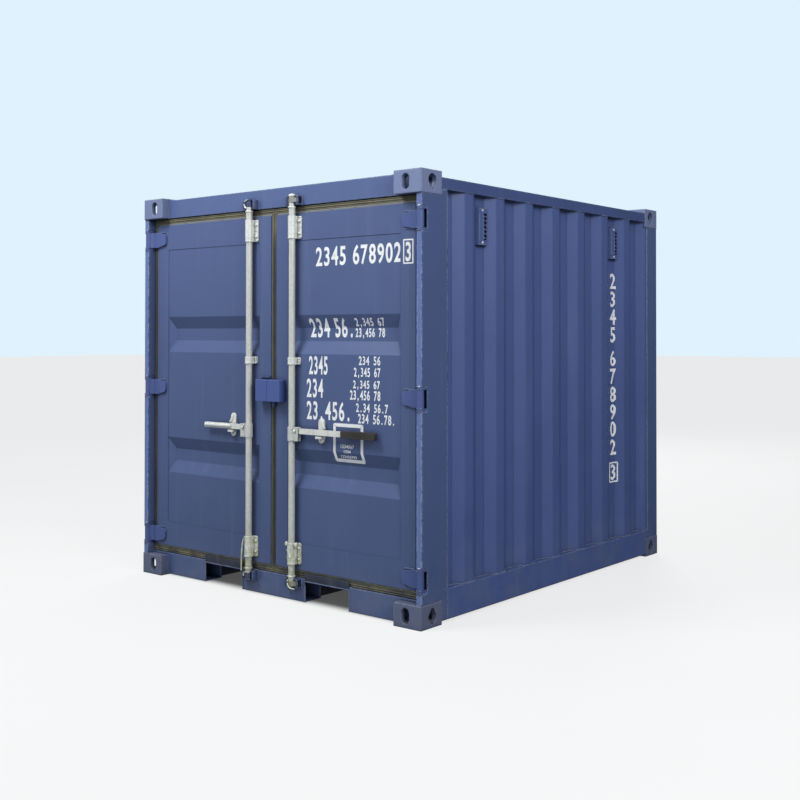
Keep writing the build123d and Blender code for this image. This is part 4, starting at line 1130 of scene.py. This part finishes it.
class CONTAINER_OT_door_seams(bpy.types.Operator):
    """Run the seams between each pressed panel and its frame, and the hinge blades' welds"""

    bl_idname = "container.door_seams"
    bl_label = "Door seams"

    def execute(self, context):
        chance = random.Random(13)
        for name, side in SIDES.items():
            low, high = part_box("door_panel_" + name)
            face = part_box("door_frame_" + name)[0].y
            bm = bmesh.new()
            for left, right, bottom, top in (
                (low.x, high.x, high.z - SEAM, high.z + SEAM), (low.x, high.x, low.z - SEAM, low.z + SEAM),
                (low.x - SEAM, low.x + SEAM, low.z, high.z), (high.x - SEAM, high.x + SEAM, low.z, high.z),
            ):
                outline = box_outline(left, right, bottom, top)
                place = on_doors(face + SEAM)
                add_plate(bm, outline, place, SEAM + SEAM_RISE, SEAM_RISE, 1)
            finished(bm, "panel_seams_" + name, "seam_paint", name + "_door")
            bm = bmesh.new()
            for centre in HINGE_HEIGHTS:
                for end in (-1, 1):
                    height = centre + end * BLADE_EDGE
                    path = ((side * BLADE_SPAN[0], face, height), (side * BLADE_SPAN[1], face, height))
                    add_bead(bm, path, 0.8 * sizes().weld_radius, chance)
            finished_welds(bm, "hinge_blade_welds_" + name, name + "_door")
        return {"FINISHED"}


SEAM = 0.0022
SEAM_RISE = 0.0006
BLADE_EDGE = 0.044
BLADE_SPAN = (0.955, 1.018)


class CONTAINER_OT_seals(bpy.types.Operator):
    """Fit the lips of the door rubber and the riveted strips that hold it"""

    bl_idname = "container.seals"
    bl_label = "Door seals"

    def execute(self, context):
        rivet = bolt_shape(*STRIP_RIVET)
        for name, side in SIDES.items():
            low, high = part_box("door_gasket_" + name)
            door_low, door_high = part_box("door_frame_" + name)
            meeting, outer = sorted((low.x, high.x), key=abs)
            door_meeting, door_outer = sorted((door_low.x, door_high.x), key=abs)
            bm = bmesh.new()
            for inset, radius in GASKET_LIPS:
                left, right = meeting + side * MEETING_SHARE * inset, outer - side * inset
                bottom, top = low.z + inset, high.z - inset
                front = low.y + radius * LIP_SINK
                foot_left, head_left = (left, front, bottom), (left, front, top)
                foot_right, head_right = (right, front, bottom), (right, front, top)
                for path in (
                    (foot_left, head_left), (foot_right, head_right), (foot_left, foot_right),
                    (head_left, head_right),
                ):
                    add_rod(bm, path, radius, 0.5, 10)
            finished(bm, "gasket_lips_" + name, "gasket_rubber", name + "_door", 60.0)
            strips = (
                (door_outer, door_outer + side * STRIP, door_low.z, door_high.z),
                (door_meeting - side * MEETING_SHARE * STRIP, door_meeting, door_low.z, door_high.z),
                (door_meeting, door_outer, door_high.z, door_high.z + STRIP),
                (door_meeting, door_outer, door_low.z - STRIP, door_low.z),
            )
            bm = bmesh.new()
            place = on_doors(low.y + STRIP_SINK)
            for first, last, bottom, top in strips:
                outline = box_outline(min(first, last), max(first, last), bottom, top)
                add_plate(bm, outline, place, STRIP_THICK + STRIP_SINK, STRIP_EASE, 1)
                upright = top - bottom > abs(last - first)
                length = top - bottom if upright else abs(last - first)
                count = int(length / RIVET_PITCH)
                for number in range(count):
                    share = (number + 0.5) / count
                    across = (first + last) / 2 if upright else first + (last - first) * share
                    height = bottom + length * share if upright else (bottom + top) / 2
                    fix(bm, rivet, (across, low.y - STRIP_THICK, height))
            finished(bm, "gasket_strips_" + name, "retainer_steel", name + "_door")
        drop(rivet)
        return {"FINISHED"}


# Share of an inset or strip that fits where the doors meet
MEETING_SHARE = 0.6
# Inset from the rubber's edge and radius of each lip
GASKET_LIPS = ((0.0008, 0.0050), (0.0110, 0.0058), (0.0205, 0.0034))
LIP_SINK = 0.35
STRIP = 0.011
STRIP_THICK = 0.0022
STRIP_SINK = 0.001
STRIP_EASE = 0.0008
STRIP_RIVET = (0.0042, 0.0028, 8)
RIVET_PITCH = 0.16


class CONTAINER_OT_lock_gear(bpy.types.Operator):
    """Add bolts, bands, ribs, a strap and an eared collar to the brackets that hold the bars"""

    bl_idname = "container.lock_gear"
    bl_label = "Bracket fittings"

    def execute(self, context):
        bolt = bolt_shape(sizes().bolt_radius, BOLT_HEIGHT)
        small = bolt_shape(*GUIDE_BOLT)
        band = collar_shape(*BAND)
        for name, side in SIDES.items():
            bar = side * BAR_X
            bm = bmesh.new()
            for low, high in BRACKET_HEIGHTS:
                for middle in (bar - PLATE_BOLTS, bar + PLATE_BOLTS):
                    for height in (low + BOLT_INSET, high - BOLT_INSET):
                        fix(bm, bolt, (middle, PLATE_FACE, height))
                    for height in (low + RIB_INSET, (low + high) / 2, high - RIB_INSET):
                        path = [(middle + end, PLATE_FACE, height) for end in (-RIB_HALF, RIB_HALF)]
                        add_rod(bm, path, RIB_RADIUS)
                for height in (low + BANDS[0], low + BANDS[1], high + BANDS[2], high + BANDS[3]):
                    stamp(bm, band, Matrix.Translation((bar, BAR_Y, height)))
            for edge in GUIDE_EDGES:
                stamp(bm, band, Matrix.Translation((bar, BAR_Y, edge)))
                outline = box_outline(bar - GUIDE_HALF, bar + GUIDE_HALF, edge, edge + GUIDE_RISE)
                add_plate(bm, outline, on_doors(PLATE_FACE + 0.001), *GUIDE_PLATE)
            for place in (bar - GUIDE_BOLTS, bar + GUIDE_BOLTS):
                fix(bm, small, (place, PLATE_FACE, (GUIDE[0] + GUIDE[1]) / 2))
            finished(bm, "bracket_fittings_" + name, "galvanised_steel", name + "_door")
        bm = bmesh.new()
        path = [(across, BAR_Y - STRAP_FRONT, up) for across, up in STRAP]
        add_rod(bm, path, STRAP_RADIUS, 0.02)
        finished(bm, "bracket_strap_left", "galvanised_steel", "left_door")
        bm = bmesh.new()
        for end in EARS:
            outline = oval(BAR_X + end, *EAR_SIZE)
            add_plate(bm, outline, on_doors(BAR_Y - 0.004), *EAR_PLATE)
        for ends in EAR_RODS:
            path = [(BAR_X + across, BAR_Y - ROD_FRONT, up) for across, up in ends]
            add_rod(bm, path, ROD_RADIUS)
        finished(bm, "bracket_ears_right", "galvanised_steel", "right_door")
        drop(bolt, small, band)
        return {"FINISHED"}


PLATE_FACE = -1.175
BRACKET_HEIGHTS = ((0.2045, 0.3195), (1.962, 2.084))
BOLT_HEIGHT = 0.008
PLATE_BOLTS = 0.037
BOLT_INSET = 0.028
RIB_INSET = 0.006
RIB_HALF = 0.011
RIB_RADIUS = 0.0024
# Bands round a bar: inner and outer radius and height, and their places from a bracket's foot and head
BAND = (0.0195, 0.0228, 0.009)
BANDS = (-0.001, 0.022, -0.031, -0.008)
# Guide at mid height: its foot and head, its two edge plates and its bolts
GUIDE = (1.280, 1.320)
GUIDE_EDGES = (GUIDE[0] + 0.002, GUIDE[1] - 0.012)
GUIDE_HALF = 0.040
GUIDE_RISE = 0.010
GUIDE_PLATE = (0.005, 0.002)
GUIDE_BOLTS = 0.033
GUIDE_BOLT = (0.0065, 0.005)
# Ears of the right bar's lower collar: places beside the bar, height and half sizes, crossed rods
EARS = (-0.029, 0.040)
EAR_SIZE = (0.314, 0.010, 0.012)
EAR_PLATE = (0.010, 0.003)
EAR_RODS = (((-0.014, 0.286), (0.014, 0.240)), ((0.014, 0.286), (-0.014, 0.240)))
ROD_FRONT = 0.0215
ROD_RADIUS = 0.0026
# Bent strap beside the left bar's lower bracket, as pairs of place across and height
STRAP = ((-0.188, 0.315), (-0.199, 0.302), (-0.208, 0.277), (-0.214, 0.245), (-0.217, 0.200), (-0.219, 0.122))
STRAP_FRONT = 0.012
STRAP_RADIUS = 0.0042


class CONTAINER_OT_bar_ends(bpy.types.Operator):
    """Fit collars, bent rods and round knobs to the ends of the lock bars, and edge the keepers"""

    bl_idname = "container.bar_ends"
    bl_label = "Bar ends"

    def execute(self, context):
        collar = collar_shape(*BAR_COLLAR)
        knob = turned(KNOB, 24)
        for name, side in SIDES.items():
            bar = side * BAR_X
            low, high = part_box("bar_cams_" + name)
            tips = bmesh.new()
            bm = bmesh.new()
            stamp(bm if side > 0 else tips, knob, Matrix.Translation((bar, BAR_Y, high.z)))
            stamp(tips, knob, standing((bar, BAR_Y, low.z), (0, 0, -1)))
            for height in COLLAR_HEIGHTS:
                stamp(bm, collar, Matrix.Translation((bar, BAR_Y, height)))
            for path in (FOOT_HOOK,) if side > 0 else (HEAD_CRESCENT, FOOT_CRESCENT):
                path = [(bar + across, low.y, up) for across, up in path]
                add_rod(bm, path, END_ROD_RADIUS, 0.02)
            finished(bm, "bar_ends_" + name, "galvanised_steel", name + "_lock_bar")
            finished(tips, "bar_tips_" + name, "tip_paint", name + "_lock_bar")
        drop(collar, knob)
        bm = bmesh.new()
        for side in SIDES.values():
            for height in KEEPER_HEIGHTS:
                for end in (-1, 1):
                    across = side * BAR_X + end * (KEEPER_HALF - EDGE_INSET)
                    outline = oval(across, height, EDGE_HALF, KEEPER_RISE - EDGE_END)
                    add_plate(bm, outline, on_doors(KEEPER_FRONT + 0.0005), *EDGE_PLATE)
        finished(bm, "keeper_edges", "keeper_paint", "container")
        return {"FINISHED"}


# Round end of a bar, as pairs of radius and height
KNOB = (
    (0.0, -0.004), (0.0140, -0.004), (0.0150, 0.0), (0.0185, 0.003), (0.0195, 0.008), (0.0175, 0.013),
    (0.0120, 0.0165), (0.0060, 0.018), (0.0, 0.0183),
)
BAR_COLLAR = (BAR_RADIUS - 0.001, 0.0212, 0.009)
COLLAR_HEIGHTS = (KEEPER_HEIGHTS[0] + 0.033, KEEPER_HEIGHTS[1] - 0.042)
# Rounded edges of the keepers: how far in, half width, how far from the ends, depth and ease
EDGE_INSET = 0.0055
EDGE_HALF = 0.0045
EDGE_END = 0.003
EDGE_PLATE = (0.0022, 0.0012)
# Bent rods on the bars' ends, as pairs of place beside the bar and height
END_ROD_RADIUS = 0.0040
FOOT_HOOK = (
    (-0.010, 0.124), (-0.012, 0.104), (-0.007, 0.091), (0.005, 0.082), (0.022, 0.078), (0.042, 0.080),
)
HEAD_CRESCENT = ((0.002, 2.196), (-0.014, 2.188), (-0.021, 2.172), (-0.016, 2.156), (-0.004, 2.150))
FOOT_CRESCENT = ((0.002, 0.122), (-0.010, 0.119), (-0.018, 0.110), (-0.020, 0.098))


class CONTAINER_OT_handle_fittings(bpy.types.Operator):
    """Add pivot pins, the left handle's round end, the catches' ovals and hooks, and the grip's ribs"""

    bl_idname = "container.handle_fittings"
    bl_label = "Handle fittings"

    def execute(self, context):
        pin = bolt_shape(*PIVOT_PIN)
        rivet = bolt_shape(*RIVET)
        for name, side in SIDES.items():
            bar = side * BAR_X
            bm = bmesh.new()
            hub_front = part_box("lock_bar_" + name)[0].y
            fix(bm, pin, (bar + side * PIVOT, hub_front + PIN_SINK, HANDLE_Z))
            for up in HUB_RIVETS:
                fix(bm, rivet, (bar + side * HUB_RIVET_OUT, hub_front + RIVET_SINK, HANDLE_Z + up))
            finished(bm, "hub_pins_" + name, "galvanised_steel", name + "_lock_bar")
            bm = bmesh.new()
            catch = side * CATCHES[name]
            place = on_doors(PLATE_FACE + 0.0005)
            add_plate(bm, oval(catch, CATCH_MIDDLE, *CATCH_OVAL), place, *CATCH_PLATE)
            hook = [(catch + side * across, up) for across, up in HOOK]
            if side < 0:
                hook.reverse()
            add_plate(bm, hook, on_doors(PLATE_FACE - 0.004), *HOOK_PLATE)
            for height in (CATCH_MIDDLE + CATCH_RIVETS, CATCH_MIDDLE - CATCH_RIVETS):
                fix(bm, rivet, (catch, PLATE_FACE - 0.005, height))
            finished(bm, "catch_fittings_" + name, "galvanised_steel", name + "_door")
        bm = bmesh.new()
        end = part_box("handle_left")[0].x
        path = [(end + along, BAR_Y, HANDLE_Z) for along in ROUND_PART]
        add_rod(bm, path, ROUND_RADIUS, 0.3, 16)
        finished(bm, "handle_round_left", "galvanised_steel", "left_handle")
        bm = bmesh.new()
        low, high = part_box("handle_grip_right")
        front, top, middle = low.y + RIB_SINK, high.z - RIB_SINK, (low.y + high.y) / 2
        for number in range(GRIP_RIBS):
            across = low.x + GRIP_END + (high.x - low.x - 2 * GRIP_END) * number / (GRIP_RIBS - 1)
            for path in (
                ((across, front, low.z + GRIP_EDGE), (across, front, high.z - GRIP_EDGE)),
                ((across, middle - TOP_RIB_HALF, top), (across, middle + TOP_RIB_HALF, top)),
            ):
                add_rod(bm, path, GRIP_RIB_RADIUS)
        finished(bm, "grip_ribs_right", "grip_rubber", "right_handle")
        drop(pin, rivet)
        return {"FINISHED"}


HANDLE_Z = 0.924
PIVOT = 0.036
# Catches: place beside the middle, height, half sizes of the oval, depth, ease and rivets
CATCHES = {"left": 0.322, "right": 0.378}
CATCH_MIDDLE = 0.9315
HOOK = ((-0.008, 0.988), (0.008, 0.988), (0.022, 0.962), (0.034, 0.946), (0.026, 0.941), (0.010, 0.950),
        (-0.004, 0.968))
HOOK_PLATE = (0.0036, 0.0012)
CATCH_OVAL = (0.021, 0.067)
CATCH_PLATE = (0.0055, 0.0025, 3)
CATCH_RIVETS = 0.050
PIVOT_PIN = (0.0095, 0.006)
PIN_SINK = 0.0053
RIVET = (0.005, 0.003, 12)
RIVET_SINK = 0.0023
HUB_RIVETS = (0.013, -0.044)
HUB_RIVET_OUT = 0.022
# Round part of the left handle, measured from its far end
ROUND_PART = (0.012, 0.235)
ROUND_RADIUS = 0.0118
# Ribs of the grip: how many, how far they keep from its ends and edges, and how thick they are
GRIP_RIBS = 9
GRIP_END = 0.030
GRIP_EDGE = 0.010
GRIP_RIB_RADIUS = 0.0016
TOP_RIB_HALF = 0.004
RIB_SINK = 0.0002


class CONTAINER_OT_lock_box_trim(bpy.types.Operator):
    """Add the hood, the tab and the strip between the halves of the lock box"""

    bl_idname = "container.lock_box_trim"
    bl_label = "Lock box trim"

    def execute(self, context):
        for name, side in SIDES.items():
            low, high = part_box("lock_box_" + name)
            bm = bmesh.new()
            back = on_doors(high.y - 0.002)
            if side < 0:
                hood = box_outline(low.x - 0.002, high.x - 0.014, high.z + HOOD[0], high.z + HOOD[1])
                add_plate(bm, hood, back, *HOOD_PLATE)
            else:
                tab = box_outline(low.x + 0.008, low.x + 0.020, low.z - TAB[0], low.z - TAB[1])
                add_plate(bm, tab, back, *TAB_PLATE)
                gap = on_doors(low.y + 0.020)
                outline = box_outline(HALF_GAP - low.x, low.x, low.z + HALF_GAP, high.z - HALF_GAP)
                add_plate(bm, outline, gap, *STRIP_PLATE)
            finished(bm, "lock_box_trim_" + name, "lock_box_paint", name + "_door")
        return {"FINISHED"}


# Hood above the lock box, tab below it, and the strip between its halves: heights, depths and ease
HOOD = (0.010, 0.014)
HOOD_PLATE = (0.018, 0.001)
TAB = (0.030, 0.004)
TAB_PLATE = (0.016, 0.002)
STRIP_PLATE = (0.0194, 0.0004, 1)
HALF_GAP = 0.0006


class CONTAINER_OT_vent_trim(bpy.types.Operator):
    """Add rims, screws and louvres to the side vents"""

    bl_idname = "container.vent_trim"
    bl_label = "Vent trim"

    def execute(self, context):
        low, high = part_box("side_vents")
        screw = bolt_shape(*VENT_SCREW)
        bm = bmesh.new()
        rims = bmesh.new()
        for side in SIDES.values():
            face = side * high.x
            turn = FACING_RIGHT if side > 0 else FACING_LEFT
            for centre in VENT_CENTRES:
                for height in (high.z - SCREW_INSET, low.z + SCREW_INSET):
                    stamp(bm, screw, standing((face, centre - SCREW_SHIFT, height), (side, 0, 0)))
                for edge in RIM_EDGES:
                    path = [(face, centre + edge, up) for up in (low.z + RIM_END, high.z - RIM_END)]
                    add_rod(rims, path, RIM_RADIUS, 0.2)
                back = face - side * LOUVRE_SINK
                for number in range(VENT_LOUVRES):
                    share = number / (VENT_LOUVRES - 1)
                    height = low.z + LOUVRE_END + (high.z - low.z - 2 * LOUVRE_END) * share
                    path = [(back, centre + along, height + rise) for along, rise in LOUVRE]
                    add_rod(rims, path, LOUVRE_RADIUS)
                middle = side * centre
                for end in (low.z + LIP_INSET, high.z - LIP_INSET):
                    outline = box_outline(
                        middle - LIP_HALF, middle + LIP_HALF, end - LIP_RISE, end + LIP_RISE
                    )
                    place = Matrix.Translation((face - side * 0.0005, 0, 0)) @ turn
                    add_plate(rims, outline, place, *LIP_PLATE)
        finished(bm, "vent_screws", "galvanised_steel", "container")
        finished(rims, "vent_louvres", "weld_paint", "container")
        drop(screw)
        return {"FINISHED"}


VENT_CENTRES = (-2.5 * WALL_PITCH, 2.5 * WALL_PITCH)
# Vent screws: radius, height and steps; how far from the vent's ends and its middle line
VENT_SCREW = (0.0075, 0.005, 12)
SCREW_INSET = 0.014
SCREW_SHIFT = 0.008
# Upright rims, beside the vent's middle line
RIM_EDGES = (-0.035, 0.0)
RIM_END = 0.030
RIM_RADIUS = 0.0022
# Louvres: how many, how far from the vent's ends and behind its face, and their slope
VENT_LOUVRES = 6
LOUVRE_END = 0.042
LOUVRE_SINK = 0.003
LOUVRE_RADIUS = 0.0032
LOUVRE = ((0.003, 0.0), (0.031, -0.004))
# Level lips at the vent's ends: inset, half length and half height
LIP_INSET = 0.004
LIP_HALF = 0.034
LIP_RISE = 0.003
LIP_PLATE = (0.002, 0.001, 1)


class CONTAINER_OT_hinge_pins(bpy.types.Operator):
    """Head the hinge pins"""

    bl_idname = "container.hinge_pins"
    bl_label = "Hinge pins"

    def execute(self, context):
        head = turned(PIN_HEAD, 20)
        bm = bmesh.new()
        for side in SIDES.values():
            for centre in HINGE_HEIGHTS:
                stamp(bm, head, standing((side * HINGE_X, HINGE_Y, centre + LUG_STEP + LUG_HALF), (0, 0, 1)))
                stamp(bm, head, standing((side * HINGE_X, HINGE_Y, centre - LUG_STEP - LUG_HALF), (0, 0, -1)))
        finished(bm, "hinge_pin_heads", "galvanised_steel", "container")
        drop(head)
        return {"FINISHED"}


# Head of a hinge pin, as pairs of radius and height
PIN_HEAD = (
    (0.0, -0.002), (0.0145, -0.002), (0.0145, 0.003), (0.0125, 0.006), (0.0070, 0.0075), (0.0, 0.008),
)
HINGE_X = 1.080
HINGE_Y = -1.199


class CONTAINER_OT_floor_screws(bpy.types.Operator):
    """Screw the plywood to the cross members"""

    bl_idname = "container.floor_screws"
    bl_label = "Floor screws"

    def execute(self, context):
        low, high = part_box("floor")
        screw = turned(FLOOR_SCREW, 10)
        bm = bmesh.new()
        for row in range(CROSS_MEMBERS):
            along = (row - (CROSS_MEMBERS - 1) / 2) * CROSS_MEMBER_PITCH
            for number in range(SCREWS_ACROSS):
                across = low.x + FLOOR_EDGE + (high.x - low.x - 2 * FLOOR_EDGE) * number / (SCREWS_ACROSS - 1)
                for shift in (-SCREW_PAIR, SCREW_PAIR):
                    stamp(bm, screw, Matrix.Translation((across, along + shift, high.z)))
        finished(bm, "floor_screws", "galvanised_steel", "container")
        drop(screw)
        return {"FINISHED"}


# Countersunk screw, as pairs of radius and height
FLOOR_SCREW = ((0.0, -0.002), (0.0070, -0.002), (0.0070, 0.0), (0.0050, 0.0008), (0.0, 0.0004))
FLOOR_EDGE = 0.05
SCREW_PAIR = 0.012
CROSS_MEMBERS = 6
CROSS_MEMBER_PITCH = 0.320
SCREWS_ACROSS = 14


class CONTAINER_PT_panel(bpy.types.Panel):
    """Buttons, sizes and colours in the sidebar"""

    bl_idname = "CONTAINER_PT_panel"
    bl_label = "Shipping container"
    bl_space_type = "VIEW_3D"
    bl_region_type = "UI"
    bl_category = "Container"

    def draw(self, context):
        for operator in OPERATORS:
            self.layout.operator(operator.bl_idname)
        for group in (context.scene.container_sizes, context.scene.container_colours):
            for name in group.bl_rna.properties.keys():
                if name not in ("rna_type", "name"):
                    self.layout.prop(group, name)


OPERATORS = (
    CONTAINER_OT_stage,
    CONTAINER_OT_finish,
    CONTAINER_OT_door_marks,
    CONTAINER_OT_side_marks,
    CONTAINER_OT_wall_welds,
    CONTAINER_OT_frame_welds,
    CONTAINER_OT_door_seams,
    CONTAINER_OT_seals,
    CONTAINER_OT_lock_gear,
    CONTAINER_OT_bar_ends,
    CONTAINER_OT_handle_fittings,
    CONTAINER_OT_lock_box_trim,
    CONTAINER_OT_vent_trim,
    CONTAINER_OT_hinge_pins,
    CONTAINER_OT_floor_screws,
)
CLASSES = (ContainerSizes, ContainerColours, *OPERATORS, CONTAINER_PT_panel)


def register():
    """Register the classes and the scene's settings."""
    for item in CLASSES:
        bpy.utils.register_class(item)
    bpy.types.Scene.container_sizes = PointerProperty(type=ContainerSizes)
    bpy.types.Scene.container_colours = PointerProperty(type=ContainerColours)


def unregister():
    """Undo register."""
    del bpy.types.Scene.container_colours
    del bpy.types.Scene.container_sizes
    for item in reversed(CLASSES):
        bpy.utils.unregister_class(item)


def main():
    """Build the shader groups and run each operator."""
    register()
    for build in (edge_group, patch_group, dust_group, height_light_group, front_light_group, skin_group):
        build()
    bpy.ops.container.stage()
    bpy.ops.container.finish()
    bpy.ops.container.door_marks()
    bpy.ops.container.side_marks()
    bpy.ops.container.wall_welds()
    bpy.ops.container.frame_welds()
    bpy.ops.container.door_seams()
    bpy.ops.container.seals()
    bpy.ops.container.lock_gear()
    bpy.ops.container.bar_ends()
    bpy.ops.container.handle_fittings()
    bpy.ops.container.lock_box_trim()
    bpy.ops.container.vent_trim()
    bpy.ops.container.hinge_pins()
    bpy.ops.container.floor_screws()


if __name__ == "__main__":
    main()
